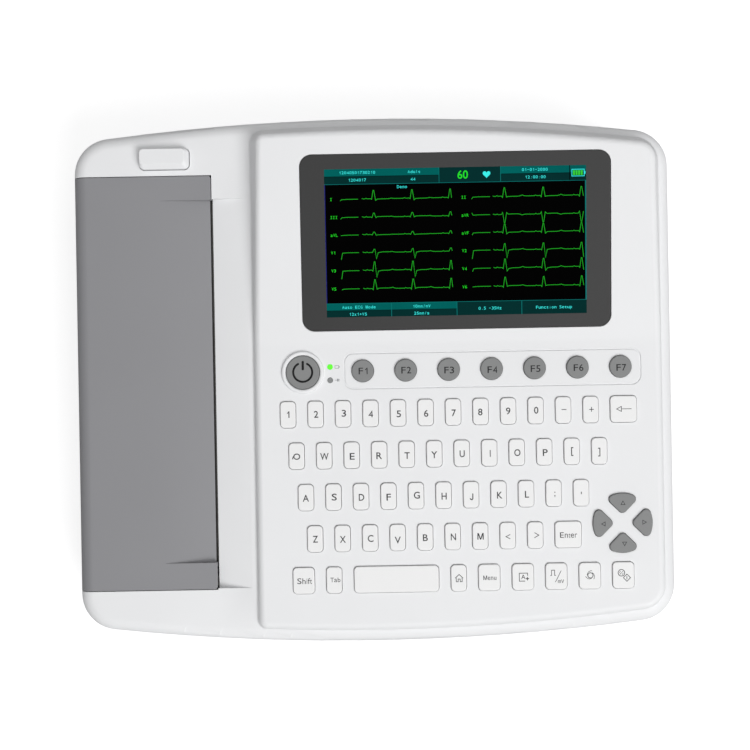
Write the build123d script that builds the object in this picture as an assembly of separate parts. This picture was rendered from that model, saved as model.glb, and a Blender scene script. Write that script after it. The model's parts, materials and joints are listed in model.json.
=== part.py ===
"""Twelve-channel desktop ECG recorder with a keyboard, a colour display and a drop-in roll printer.

Everything is drawn in a panel frame, where the keyboard surface is the plane z = 0, +X runs to the
operator's right and +Y to the rear. At the end each piece is pitched by TILT about X and set down,
so that in the files +Z is up and the feet rest on z = 0. Lengths are in mm, angles in degrees.
"""
from build123d import *

import math
import os

os.makedirs("parts", exist_ok=True)

# ---------------------------------------------------------------- casing
WIDTH, DEPTH = 356.0, 313.6   # plan size in the panel frame
BOW = 12.0                    # how far the front and rear edges bow out at the middle
BOW_R = ((WIDTH / 2) ** 2 + BOW ** 2) / (2 * BOW)
CORNER_R = 22.0               # plan corner radius
WALL = 2.5                    # moulding thickness
TILT = 5.0                    # pitch of the keyboard surface
SCREEN_TILT = 6.0             # extra pitch of the display surface behind the crease
CREASE_Y = 21.5               # where the two surfaces meet
Z_DECK = -5.0                 # printer deck and shoulder, below the keyboard surface
Z_PART = -38.0                # parting plane of the two housings
EDGE_R = 8.0                  # rounding of the shoulder edge
SEAM = 0.45                   # relief at the parting plane
ORIGIN_H = 74.0               # height of the panel frame's origin above the table
SHIFT_Y = -3.98               # brings the casing's box onto the origin
FOOT_H = 4.0                  # height of the casing's underside above the table
Z_LOW = -110.0                # below every part of the casing
LAP = 0.01                    # overlap of joined solids

PANEL_X0, PANEL_X1 = -71.8, 171.4    # foot of the raised panel
PANEL_FRONT, PANEL_REAR = -149.1, 151.4
PANEL_DRAFT = 15.0
PANEL_TOP_R = 4.2

# casing screws; keypad board posts; feet, given level with the table
BOSSES = [(-158, 134), (-158, -134), (158, 133), (158, -133), (-40, 141), (-40, -141)]
POSTS = [(-56, -8.0), (161, -8.0), (50, -32.3), (-57, -56.9), (159, -56.9),
         (-52, -106.2), (60, -106.2), (161.5, -106.2)]
FEET = [(x, y) for y in (-128, 134) for x in (-150, 150)]
SCREW_HEAD_H = 6.0            # top of the casing screw's counterbore above the underside

# ---------------------------------------------------------------- keys and display
KEY_PITCH, ROW_PITCH = 16.33, 24.65
KEY_W, KEY_H, KEY_R = 9.1, 15.6, 2.4
WIDE_W, COMMAND_W, SPACE_W = 15.6, 12.7, 50.2
KEY_GAP = 0.3                 # clearance between a white key and its hole
GREY_GAP = 0.2                # clearance round the function and direction keys
KEY_TOP, GREY_TOP = 1.3, 1.5  # tops of white and of power or direction keys
FUNCTION_TOP = 1.6
CAP_FOOT, FLANGE_FOOT = -3.7, -4.5
ROW_Y = [-20.0 - i * ROW_PITCH for i in range(5)]
# name, x of the first key, number of keys; one line per row from the rear
KEY_ROWS = [
    ("number_keys", -51.7, 12),
    ("upper_letter_keys", -47.0, 12),
    ("middle_letter_keys", -41.9, 11),
    ("lower_letter_keys", -36.9, 9),
]
# name, row, x, width
SINGLE_KEYS = [
    ("backspace_key", 0, 147.4, WIDE_W),
    ("enter_key", 3, 113.3, WIDE_W),
    ("shift_key", 4, -44.0, COMMAND_W),
    ("tab_key", 4, -26.0, KEY_W),
    ("space_bar", 4, 11.0, SPACE_W),
    ("home_key", 4, 47.9, KEY_W),
    ("menu_key", 4, 66.0, COMMAND_W),
    ("case_key", 4, 86.0, COMMAND_W),
    ("calibration_key", 4, 105.8, COMMAND_W),
    ("feed_key", 4, 125.7, COMMAND_W),
    ("record_key", 4, 145.6, COMMAND_W),
]
KEYS = {                      # name -> list of (x, y, width)
    name: [(x + i * KEY_PITCH, ROW_Y[row], KEY_W) for i in range(count)]
    for row, (name, x, count) in enumerate(KEY_ROWS)
}
KEYS.update({name: [(x, ROW_Y[row], width)] for name, row, x, width in SINGLE_KEYS})

FUNCTION_X = [-6.9 + i * 25.5 for i in range(7)]
FUNCTION_Y, FUNCTION_R = 5.3, 6.6
POWER_X, POWER_Y, POWER_R = -42.5, 5.0, 9.95
POWER_GAP = 0.25
COLLAR_R, COLLAR_H = 12.6, 1.8
LED_X, LED_YS, LED_R = -26.3, (8.0, 0.1), 1.6
NAV_X, NAV_Y = 145.8, -87.6
NAV_TURN = {"up_key": 0, "left_key": 90, "down_key": 180, "right_key": -90}

WINDOW_W, WINDOW_H, WINDOW_R, WINDOW_T = 183.0, 104.0, 7.2, 1.6
WINDOW_X, WINDOW_Y = 49.5, 7.8 + WINDOW_H / 2    # centre, y up the slope from the crease

# ---------------------------------------------------------------- boards and connectors
BOARD_T = 1.6
MAT_TOP, MAT_FOOT = -6.05, -7.5      # keypad mat, lying on the keypad board
KEYPAD_X, KEYPAD_Y = 53.0, -54.5     # centre of the mat and of its board
MAIN_BOARD, MAIN_Z = (-25.0, 145.0, -105.0, 15.0), -44.0      # x0, x1, y0, y1; underside
SUPPLY_BOARD, SUPPLY_Z = (62.0, 162.0, 40.0, 116.0), -66.0


def corner_posts(board, inset):
    x0, x1, y0, y1 = board
    return [(x, y) for y in (y0 + inset, y1 - inset) for x in (x0 + inset, x1 - inset)]


MAIN_POSTS = corner_posts(MAIN_BOARD, 6)
SUPPLY_POSTS = corner_posts(SUPPLY_BOARD, 5)

# centres (x, z) of the rear connectors
INLET = (103.0, -57.0)
LAN = (60.0, -57.0)
USB = (42.0, -57.0)
# drawn level with the table: battery centre (x, y), lead socket on the right side
BATTERY_X, BATTERY_Y = -20.0, 82.0
SOCKET_Y, SOCKET_Z = -20.0, 19.0
JACK_PITCH = 33.3             # the socket's two jackscrews
JACK_YS = [SOCKET_Y + dy for dy in (-JACK_PITCH / 2, JACK_PITCH / 2)]

# ---------------------------------------------------------------- printer
DOOR_EDGE, DOOR_Y = -95.8, 123.4     # door's free edge and half length
DOOR_GAP = 0.4
OPENING_Y = DOOR_Y + DOOR_GAP        # half length of the opening
DECK_EDGE = -95.1                    # deck side of the paper slot
SLOT_X0 = -96.6                      # door side of the paper slot
SLOT_Y0, SLOT_Y1 = -107.6, 109.0
SCOOP_X0, SCOOP_X1, SCOOP_DEPTH = -127.0, -75.5, 4.5

# (x, z) of the axes that run along Y
HINGE, HINGE_R = (-173.5, -33.0), 4.5
PLATEN, PLATEN_R, SHAFT_R = (-104.5, -19.0), 7.0, 2.5
ROLL, ROLL_R = (-144.5, -31.5), 21.5
LATCH, LATCH_R = (-101.0, -48.0), 3.0
HEAD_PIVOT = (-91.5, -37.0)
PIN_R = 1.5

HEAD_SPRING_YS, HEAD_SPRING_Z = (-70, 0, 70), -20.0
PLATE_IN, PLATE_OUT = 124.3, 126.3   # faces of the frame's end plates, either side of y = 0
CHEEK = (112.5, 115.5)               # faces of the door cheeks and frame lugs

BUTTON_X, BUTTON_Y, BUTTON_W, BUTTON_H = -123.1, 133.6, 29.6, 12.4
BUTTON_R, BUTTON_TOP = 3.0, 0.9
BUTTON_FOOT = Z_DECK - 4.7
SHELF_TOP = -23.0                    # shelf under the button spring

# drive gears, meshing in the order platen, idler, pinion
MODULE = 0.8
PLATEN_TEETH, IDLER_TEETH, PINION_TEETH = 20, 30, 17
IDLER_ANGLE, PINION_ANGLE = -60.0, 14.0          # direction of each next axis, +X towards +Z
GEAR_Y, GEAR_W = -122.9, 3.7


def next_axis(axis, teeth, next_teeth, angle):
    """Axis of a gear that meshes with the one at axis, with 0.10 of extra centre distance."""
    distance = MODULE * (teeth + next_teeth) / 2 + 0.10
    a = math.radians(angle)
    return axis[0] + distance * math.cos(a), axis[1] + distance * math.sin(a)


IDLER = next_axis(PLATEN, PLATEN_TEETH, IDLER_TEETH, IDLER_ANGLE)
MOTOR = next_axis(IDLER, IDLER_TEETH, PINION_TEETH, PINION_ANGLE)


# ---------------------------------------------------------------- helpers
def box(x0, x1, y0, y1, z0, z1):
    centre = Pos((x0 + x1) / 2, (y0 + y1) / 2, (z0 + z1) / 2)
    return centre * Box(abs(x1 - x0), abs(y1 - y0), abs(z1 - z0))


def port_box(centre, half_w, half_h, y0, y1):
    """Box centred on a rear connector's (x, z)."""
    x, z = centre
    return box(x - half_w, x + half_w, y0, y1, z - half_h, z + half_h)


def socket_box(x0, x1, half_y, below, above):
    """Box about the lead socket's centre, level with the table."""
    return box(x0, x1, SOCKET_Y - half_y, SOCKET_Y + half_y, SOCKET_Z - below, SOCKET_Z + above)


def battery_box(half_x, y0, y1, z0, z1):
    """Box with x and y measured from the battery's centre, level with the table."""
    return box(BATTERY_X - half_x, BATTERY_X + half_x, BATTERY_Y + y0, BATTERY_Y + y1, z0, z1)


def cyl_z(x, y, z0, z1, radius):
    return Pos(x, y, (z0 + z1) / 2) * Cylinder(radius, z1 - z0)


def cyl_y(axis, y0, y1, radius):
    """Cylinder along Y about an (x, z) axis."""
    return Pos(axis[0], (y0 + y1) / 2, axis[1]) * Rot(90, 0, 0) * Cylinder(radius, y1 - y0)


def cyl_x(y, z, x0, x1, radius):
    return Pos((x0 + x1) / 2, y, z) * Rot(0, 90, 0) * Cylinder(radius, x1 - x0)


def y_span(side, near, far):
    """Ordered y limits of something between near and far on side -1 or 1."""
    return sorted((side * near, side * far))


def rrect(x, y, w, h, radius):
    return Pos(x, y) * RectangleRounded(w, h, radius)


def slab(sketch, z0, z1):
    return extrude(Pos(0, 0, z0) * sketch, z1 - z0, dir=(0, 0, 1))


def poly_xz(points, y0, y1):
    """Prism along Y from a polygon in X-Z."""
    face = make_face(Polyline(*[(x, y0, z) for x, z in points], close=True))
    return extrude(face, y1 - y0, dir=(0, 1, 0))


def poly_yz(points, x0, x1):
    """Prism along X from a polygon in Y-Z."""
    face = make_face(Polyline(*[(x0, y, z) for y, z in points], close=True))
    return extrude(face, x1 - x0, dir=(1, 0, 0))


def largest(shape):
    """The biggest solid of a result, so that slivers of a cut aren't kept."""
    solids = shape.solids()
    return max(solids, key=lambda s: s.volume) if len(solids) > 1 else solids[0]


def gather(shapes):
    """All the solids of some shapes as one piece."""
    solids = [solid for shape in shapes for solid in shape.solids()]
    return Compound(children=solids) if len(solids) > 1 else solids[0]


def round_top(shape, radius):
    return fillet(shape.faces().sort_by(Axis.Z)[-1].edges(), radius)


def coil(radius, wire_r, length, turns=5):
    """Compression spring along +Z from z = 0, drawn at its fitted length."""
    height = length - 2 * wire_r
    path = Helix(pitch=height / turns, height=height, radius=radius)
    profile = Plane(origin=path @ 0, z_dir=path % 0) * Circle(wire_r)
    return Pos(0, 0, wire_r) * sweep(profile, path=path)


def on_screen(shape):
    """Places a shape drawn on the display surface: origin at the crease, local Y up the slope."""
    return Pos(0, CREASE_Y, 0) * Rot(SCREEN_TILT, 0, 0) * shape


def to_table(shape):
    return Pos(0, SHIFT_Y, ORIGIN_H) * Rot(TILT, 0, 0) * shape


def from_table(shape):
    """Brings a shape drawn level with the table into the panel frame."""
    return Rot(-TILT, 0, 0) * (Pos(0, -SHIFT_Y, -ORIGIN_H) * shape)


def under_z(y, above=0.0):
    """z at y of the plane that lies above mm over the underside."""
    tilt = math.radians(TILT)
    return (-(ORIGIN_H - FOOT_H - above) - y * math.sin(tilt)) / math.cos(tilt)


def over_plane(above, z_top):
    """Everything over the underside plane raised by above, up to z_top."""
    points = [(-200, under_z(-200, above)), (200, under_z(200, above)), (200, z_top), (-200, z_top)]
    return poly_yz(points, -250, 250)


# ---------------------------------------------------------------- casing envelopes
def outline(inset=0.0):
    w, d = WIDTH / 2 - inset, DEPTH / 2 - inset
    side = d - w * w / (2 * BOW_R)
    front = ThreePointArc((-w, -side), (0, -d), (w, -side))
    right = Line((w, -side), (w, side))
    rear = ThreePointArc((w, side), (0, d), (-w, side))
    left = Line((-w, side), (-w, -side))
    face = make_face([front, right, rear, left])
    return fillet(face.vertices(), CORNER_R - inset)


def panel_outline(inset=0.0):
    x0, x1 = PANEL_X0 + inset, PANEL_X1 - inset
    xm = (x0 + x1) / 2

    def front_at(x):
        return x, PANEL_FRONT + inset + x * x / (2 * BOW_R)

    def rear_at(x):
        return x, PANEL_REAR - inset - x * x / (2 * BOW_R)

    front = ThreePointArc(front_at(x0), front_at(xm), front_at(x1))
    right = Line(front_at(x1), rear_at(x1))
    rear = ThreePointArc(rear_at(x1), rear_at(xm), rear_at(x0))
    left = Line(rear_at(x0), front_at(x0))
    face = make_face([front, right, rear, left])
    face = fillet([v for v in face.vertices() if v.X > xm], 14.5 - inset)
    rear_left = [v for v in face.vertices() if v.X < x0 + 0.01 and v.Y > 0]
    face = fillet(rear_left, max(1.2, 7.5 - 0.62 * inset))
    front_left = [v for v in face.vertices() if v.X < x0 + 0.01 and v.Y < -100]
    return fillet(front_left, max(1.2, 5.2 - 0.62 * inset))


def above_surface(offset):
    """Everything above the keyboard and display surfaces, lowered by offset."""
    a = math.radians(SCREEN_TILT)
    blend = 1.6                      # half length of the blend along the crease's two sides
    x, y_front, y_rear, top = -250, -200.0, 200.0, 60.0
    front = (x, y_front, -offset)
    blend_front = (x, CREASE_Y - blend, -offset)
    blend_mid = (x, CREASE_Y, -offset + blend * math.tan(a / 2) * 0.5)
    blend_rear = (x, CREASE_Y + blend * math.cos(a), blend * math.sin(a) - offset)
    rear = (x, y_rear, (y_rear - CREASE_Y) * math.tan(a) - offset)
    top_rear, top_front = (x, y_rear, top), (x, y_front, top)
    edges = [
        Line(front, blend_front),
        ThreePointArc(blend_front, blend_mid, blend_rear),
        Line(blend_rear, rear),
        Line(rear, top_rear),
        Line(top_rear, top_front),
        Line(top_front, front),
    ]
    return extrude(make_face(edges), 500, dir=(1, 0, 0))


def body_solid(inset, z_bottom, radius):
    sketch = Pos(0, 0, z_bottom) * outline(inset)
    body = extrude(sketch, Z_DECK - inset - z_bottom, dir=(0, 0, 1))
    return round_top(body, radius) if radius > 0 else body


def panel_solid(inset, radius):
    slope = math.tan(math.radians(PANEL_DRAFT))
    low, high = [Pos(0, 0, z) * panel_outline((z - Z_DECK) * slope + inset) for z in (-10.0, 24.0)]
    panel = largest(loft([low, high], ruled=True) - above_surface(inset))
    if radius <= 0:
        return panel
    # the rim is made of the edges that belong to only one of the top faces
    found = {}
    for face in panel.faces():
        if face.normal_at().Z > 0.95 and face.center().Z > -4:
            for edge in face.edges():
                c = edge.center()
                key = (round(c.X, 2), round(c.Y, 2), round(c.Z, 2), round(edge.length, 2))
                found.setdefault(key, []).append(edge)
    rim = [same[0] for same in found.values() if len(same) == 1]
    # guards the rim fillet: if the kernel can't build it, the rim stays sharp
    try:
        return fillet(rim, radius)
    except Exception:
        return panel


def body_shell():
    outer = body_solid(0, Z_PART, EDGE_R)
    return outer - body_solid(WALL, Z_PART - 1, EDGE_R - WALL)


def seam_ring(z0, z1):
    """Thin ring cut from the outer skin beside the parting plane."""
    return slab(outline(-2), z0, z1) - slab(outline(SEAM), Z_PART - 2, Z_PART + 2)


# ---------------------------------------------------------------- upper housing
def upper_shell():
    outer = largest(body_solid(0, Z_PART, EDGE_R) + panel_solid(0, PANEL_TOP_R))
    # guards the cove fillet where the panel's left flank meets the deck: else it stays sharp
    try:
        cove = []
        for edge in outer.edges():
            c = edge.center()
            if abs(c.X - PANEL_X0) < 0.6 and abs(c.Z - Z_DECK) < 0.05 and edge.length > 100:
                cove.append(edge)
        rounded = largest(fillet(cove, 1.6) if cove else outer)
    except Exception:
        rounded = outer
    inner = largest(body_solid(WALL, Z_PART - 1, EDGE_R - WALL) + panel_solid(WALL, 0))
    return largest(rounded - inner)


def open_for_printer(upper):
    """Scoop on the deck side of the paper slot, door opening and hinge bosses."""
    scoop_z = Z_DECK - SCOOP_DEPTH
    scoop = poly_xz([
        (DECK_EDGE - 3, Z_DECK + 3), (SCOOP_X1, Z_DECK + 3), (SCOOP_X1, Z_DECK),
        (DECK_EDGE, scoop_z), (DECK_EDGE - 3, scoop_z),
    ], -122.9, 109.6)
    pad = poly_xz([
        (DECK_EDGE, Z_DECK - 2.4), (SCOOP_X1 + 1.0, Z_DECK - 2.4),
        (SCOOP_X1 - 1.5, Z_DECK - WALL - 0.4), (DECK_EDGE + 0.6, scoop_z - WALL),
        (DECK_EDGE, scoop_z - WALL),
    ], -125.4, 112.0)
    upper = largest(upper + pad)
    upper = largest(upper - scoop)

    # through the deck and down the left side, leaving strips beyond the slot's two ends
    opening = box(-200, DECK_EDGE, -OPENING_Y, OPENING_Y, Z_PART - 2, 10)
    strip_x = (DOOR_EDGE + 0.45, DECK_EDGE + LAP)
    strip_z = (Z_DECK - WALL, Z_DECK)
    front_strip = box(*strip_x, -OPENING_Y - LAP, SLOT_Y0, *strip_z) - scoop
    rear_strip = box(*strip_x, SLOT_Y1, OPENING_Y + LAP, *strip_z)
    upper = largest(upper - opening)
    upper = largest(upper + rear_strip + front_strip)

    for side in (-1, 1):
        boss = box(-176.0, -168.0, *y_span(side, OPENING_Y, 131.0), Z_PART, -27.0)
        upper = largest(upper + (boss & body_solid(1.0, Z_PART, 0)))
        upper = largest(upper - cyl_y(HINGE, *y_span(side, 122.0, 130.0), PIN_R))
    return upper


def add_collar_and_groove(upper):
    """Collar round the power button, groove round the function keys."""
    hole_r = POWER_R + POWER_GAP
    collar = Cylinder(COLLAR_R, 2 * COLLAR_H) - Cylinder(hole_r, 8)
    collar = Pos(POWER_X, POWER_Y, 0) * collar
    upper = largest(upper + round_top(collar, 1.0))
    groove_out = slab(rrect(70.0, 5.4, 176.8, 21.9, 5.8), -0.45, 1)
    groove_in = slab(rrect(70.0, 5.4, 174.8, 19.9, 4.8), -1.5, 2)
    return largest(upper - (groove_out - groove_in))


def panel_holes():
    """Cutters for everything that comes through the upper housing."""
    cutters = []
    for places in KEYS.values():
        for x, y, w in places:
            hole = rrect(x, y, w + 2 * KEY_GAP, KEY_H + 2 * KEY_GAP, KEY_R + KEY_GAP)
            cutters.append(slab(hole, -6, 3))
    for x in FUNCTION_X:
        cutters.append(cyl_z(x, FUNCTION_Y, -6, 3, FUNCTION_R + GREY_GAP))
    cutters.append(cyl_z(POWER_X, POWER_Y, -6, 4, POWER_R + POWER_GAP))
    for y in LED_YS:
        cutters.append(cyl_z(LED_X, y, -6, 3, LED_R + 0.1))
    for turn in NAV_TURN.values():
        cutters.append(slab(nav_sketch(turn, GREY_GAP), -6, 3))
    seat = rrect(WINDOW_X, WINDOW_Y, WINDOW_W + 0.4, WINDOW_H + 0.4, WINDOW_R + 0.2)
    cutters.append(on_screen(slab(seat, -WINDOW_T, 3)))
    cutters.append(on_screen(slab(rrect(WINDOW_X, WINDOW_Y, 172, 93, 3), -6, 3)))
    button_hole = rrect(BUTTON_X, BUTTON_Y, BUTTON_W + 0.7, BUTTON_H + 0.7, BUTTON_R + 0.3)
    cutters.append(slab(button_hole, -12, 0))
    return Compound(children=[solid for cutter in cutters for solid in cutter.solids()])


def make_upper_case():
    upper = add_collar_and_groove(open_for_printer(upper_shell()))
    upper = largest(upper - panel_holes())
    fill = body_solid(1.0, Z_PART, 0) + panel_solid(1.0, 0)
    for x, y in BOSSES:
        upper = largest(upper + (cyl_z(x, y, Z_PART, 14, 4.0) & fill))
        upper = largest(upper - cyl_z(x, y, Z_PART - 1, Z_PART + 14, 1.25))
    for x, y in POSTS:
        upper = largest(upper + cyl_z(x, y, MAT_FOOT, -2.0, 2.2))
        upper = largest(upper - cyl_z(x, y, -8, -3.2, 0.85))
    return largest(upper - seam_ring(Z_PART - 1, Z_PART + SEAM))


# ---------------------------------------------------------------- lower housing
def lower_shell():
    prism = Pos(0, 0, Z_LOW) * extrude(outline(0), Z_PART - Z_LOW, dir=(0, 0, 1))
    outer = largest(prism & over_plane(0, Z_PART + 5))
    # guards the fillet round the underside: if the kernel can't build it, the edge stays sharp
    try:
        outer = fillet(outer.faces().sort_by(Axis.Z)[0].edges(), 5.0)
    except Exception:
        pass
    prism = Pos(0, 0, Z_LOW) * extrude(outline(WALL), Z_PART + 2 - Z_LOW, dir=(0, 0, 1))
    inner = largest(prism & over_plane(WALL, Z_PART + 5))
    return outer, largest(outer - inner)


def cut_rear_connectors(lower, outer):
    x0, x1, y, z0, z1 = 30, 124, 147, -72, -42
    pad = box(x0 - WALL, x1 + WALL, y - WALL, 160, z0 - WALL, z1 + WALL) & outer
    lower = largest(lower + pad)
    lower = largest(lower - box(x0, x1, y, 170, z0, z1))
    for centre, half_w, half_h in [(INLET, 13.9, 10.1), (LAN, 8.2, 7.0), (USB, 7.0, 3.6)]:
        lower = largest(lower - port_box(centre, half_w, half_h, 140, 150))
    return lower


def add_screw_posts(lower, outer):
    for x, y in BOSSES:
        post = cyl_z(x, y, Z_LOW, Z_PART, 4.5) & over_plane(1.0, Z_PART)
        lower = largest(lower + (post & outer))
    for x, y in BOSSES:
        lower = largest(lower - cyl_z(x, y, Z_LOW, Z_PART + 1, 1.7))
        lower = largest(lower - cyl_z(x, y, Z_LOW, under_z(y) + SCREW_HEAD_H, 3.2))
    return lower


def add_board_posts(lower, posts, z_top, hole_depth):
    for x, y in posts:
        lower = largest(lower + (cyl_z(x, y, Z_LOW, z_top, 3.2) & over_plane(1.0, Z_PART)))
        lower = largest(lower - cyl_z(x, y, z_top - hole_depth, z_top + 1, 1.05))
    return lower


def add_battery_bay(lower):
    """Bay open to the underside, with a recess for its cover and a notch at the cover's front."""
    below = FOOT_H - 1
    bay = battery_box(41, -41, 41, FOOT_H + 1.0, 31.5)
    bay_space = battery_box(38.6, -38.6, 38.6, below, 29.5)
    cover_space = battery_box(40.2, -46.2, 40.2, below, FOOT_H + 1.7)
    bay = bay + battery_box(41, -48, -40, FOOT_H + 1.0, FOOT_H + 3.7)
    lower = largest(lower + from_table(bay))
    lower = largest(lower - from_table(bay_space) - from_table(cover_space))
    return largest(lower - from_table(battery_box(5, -48.2, -46.1, below, FOOT_H + 0.9)))


def cut_lead_socket(lower, outer):
    """Recess in the right side for the lead socket."""
    pad = from_table(socket_box(172.5, 180, 28, 12.2, 11.4)) & outer
    lower = largest(lower + pad)
    recess = socket_box(175.5, 190, 25.5, 9.7, 9.0)
    recess = fillet(recess.edges().filter_by(Axis.X), 2.0)
    lower = largest(lower - from_table(recess))
    lower = largest(lower - from_table(socket_box(168, 180, 13.5, 6.0, 6.0)))
    for y in JACK_YS:
        lower = largest(lower - from_table(cyl_x(y, SOCKET_Z, 168, 180, 2.6)))
    return lower


def make_lower_case():
    outer, lower = lower_shell()
    lower = cut_rear_connectors(lower, outer)
    lower = add_screw_posts(lower, outer)
    lower = add_board_posts(lower, MAIN_POSTS, MAIN_Z, hole_depth=8)
    lower = add_board_posts(lower, SUPPLY_POSTS, SUPPLY_Z, hole_depth=6)
    lower = largest(lower - seam_ring(Z_PART - SEAM, Z_PART + 1))
    lower = add_battery_bay(lower)
    for x, y in FEET:
        lower = largest(lower - from_table(cyl_z(x, y, FOOT_H - 1, FOOT_H + 1.0, 9.1)))
    lower = cut_lead_socket(lower, outer)
    # vents in the underside by the power supply
    for i in range(8):
        x = 80 + i * 9
        vent = box(x - 1.2, x + 1.2, 62, 92, FOOT_H - 1, FOOT_H + 3)
        lower = largest(lower - from_table(vent))
    return lower


# ---------------------------------------------------------------- display
def make_window():
    sketch = rrect(WINDOW_X, WINDOW_Y, WINDOW_W, WINDOW_H, WINDOW_R)
    window = on_screen(slab(sketch, -WINDOW_T, 0.0))
    return chamfer(window.faces().sort_by(Axis.Z)[-1].edges(), 0.2)


def make_lcd():
    """Module body, active area in front of it and a block behind, top to bottom at z -2.9 to -11.2."""
    body = box(WINDOW_X - 82.5, WINDOW_X + 82.5, 9.4, 109.4, -9.2, -3.5)
    glass = box(WINDOW_X - 77.5, WINDOW_X + 77.5, 16.2, 102.6, -3.5, -2.9)
    back = box(WINDOW_X - 60, WINDOW_X + 30, 25, 95, -11.2, -9.2)
    return largest(on_screen(body + glass + back))


# ---------------------------------------------------------------- keys
def make_cap(sketch, flange, top, radius):
    """Key with a rounded top, and a flange under the panel that keeps it in."""
    cap = round_top(slab(sketch, CAP_FOOT, top), radius)
    return largest(cap + slab(flange, FLANGE_FOOT, CAP_FOOT + LAP))


def round_cap(x, y, radius, flange_w, top, edge_r):
    place = Pos(x, y)
    return make_cap(place * Circle(radius), place * Circle(radius + flange_w), top, edge_r)


def make_keys(places):
    caps = []
    for x, y, w in places:
        sketch = rrect(x, y, w, KEY_H, KEY_R)
        flange = rrect(x, y, w + 1.6, KEY_H + 1.6, KEY_R + 0.6)
        caps.append(make_cap(sketch, flange, KEY_TOP, 0.55))
    return gather(caps)


def nav_sketch(turn, grow=0.0):
    """Direction key: an arc outside, a right-angled point towards the pad's middle."""
    radius, apex, tip = 15.5 + grow, 17.75 + grow, 4.9 - grow * 1.414
    x = -radius + math.sqrt(radius * radius + 2 * radius * (apex - tip))
    y = x + tip
    arc = ThreePointArc((x, y), (0, apex), (-x, y))
    face = make_face([arc, Line((-x, y), (0, tip)), Line((0, tip), (x, y))])
    face = fillet(face.vertices(), 2.85 + grow * 0.5)
    return Pos(NAV_X, NAV_Y) * Rot(0, 0, turn) * face


def make_lights():
    return gather([round_top(cyl_z(LED_X, y, -6.0, 0.35, LED_R), 0.3) for y in LED_YS])


def make_keypad_mat():
    mat = slab(rrect(KEYPAD_X, KEYPAD_Y, 226.0, 146.0, 4), MAT_FOOT, MAT_TOP)
    for x, y in POSTS:
        mat = mat - cyl_z(x, y, -9, -5, 2.6)
    for y in LED_YS:
        mat = mat - cyl_z(LED_X, y, -9, -5, LED_R + 0.4)
    return largest(mat)


def make_keypad_board():
    foot = MAT_FOOT - BOARD_T
    board = slab(rrect(KEYPAD_X, KEYPAD_Y, 228.0, 148.0, 3), foot, MAT_FOOT)
    for x, y in POSTS:
        board = board - cyl_z(x, y, -10, -7, 1.0)
    board = board + box(20, 60, -60, -52, -12.0, foot + LAP)
    return largest(board + box(-40, -30, -90, -76, -11.0, foot + LAP))


# ---------------------------------------------------------------- electronics
# parts on the boards: x0, x1, y0, y1, height above the board's face
MAIN_BLOCKS = [
    (10, 34, -60, -36, 2.2), (50, 62, -55, -43, 1.6), (70, 88, -70, -58, 1.8),
    (-15, 5, -20, 0, 9), (100, 130, -40, -10, 12), (30, 80, 2, 10, 8),
    (-10, 40, -101, -94, 7), (95, 101, -90, -84, 10), (106, 112, -90, -84, 10),
    (60, 66, -25, -19, 8),
]
SUPPLY_BLOCKS = [(95, 128, 60, 90, 24.4), (140, 144, 50, 104, 22.4), (88, 118, 102, 112, 13.4)]
# round parts: x, y, radius, height above the board's face
SUPPLY_CANS = [(78, 62, 7.5, 20.4), (78, 82, 7.5, 20.4), (150, 60, 4, 12.4)]


def make_board(board, z, posts, blocks, cans=()):
    face = z + BOARD_T
    shape = box(*board, z, face)
    for x, y in posts:
        shape = shape - cyl_z(x, y, z - 1, z + 3, 1.3)
    for x0, x1, y0, y1, height in blocks:
        shape = shape + box(x0, x1, y0, y1, face - LAP, face + height)
    for x, y, radius, height in cans:
        shape = shape + cyl_z(x, y, face - LAP, face + height, radius)
    return largest(shape)


def make_battery():
    pack = battery_box(37.5, -37.5, 37.5, FOOT_H + 2.4, FOOT_H + 22.8)
    pack = fillet(pack.edges().filter_by(Axis.X), 6.0)
    return from_table(largest(pack))


def make_battery_cover():
    cover_t = 1.6
    cover = battery_box(39.9, -45.9, 39.9, FOOT_H, FOOT_H + cover_t)
    cover = cover + battery_box(36, -36, 36, FOOT_H + cover_t - LAP, FOOT_H + 2.3)
    for i in range(5):
        y = -43.0 + i * 2.2
        cover = cover - battery_box(9, y, y + 1.0, FOOT_H - 1, FOOT_H + 0.6)
    return from_table(largest(cover))


def make_inlet():
    inlet = port_box(INLET, 13.7, 9.9, 124, 148.5) + port_box(INLET, 16, 12.2, 147.0, 149.0)
    inlet = inlet - port_box(INLET, 12.0, 8.2, 133, 150)
    for dx, dz in ((-7, 2), (7, 2), (0, -2)):
        inlet = inlet + port_box((INLET[0] + dx, INLET[1] + dz), 1, 2, 120, 146)
    return largest(inlet)


def make_data_ports():
    lan_x, lan_z = LAN
    lan = port_box(LAN, 8, 6.8, 131, 147.6)
    lan = lan - box(lan_x - 6, lan_x + 6, 135, 150, lan_z - 4.5, lan_z + 3.5)
    usb_x, usb_z = USB
    usb = port_box(USB, 6.8, 3.4, 133, 147.6) - port_box(USB, 6.2, 2.6, 136, 150)
    usb = usb + box(usb_x - 5.5, usb_x + 5.5, 133, 146.5, usb_z - 0.2, usb_z + 1.8)
    board = box(32, 69, 116, 144.0, -65.4, -63.81)
    lan = largest(lan + board + box(lan_x - 5, lan_x + 5, 132, 138, -64, -63))
    return gather([lan, largest(usb)])


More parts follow.
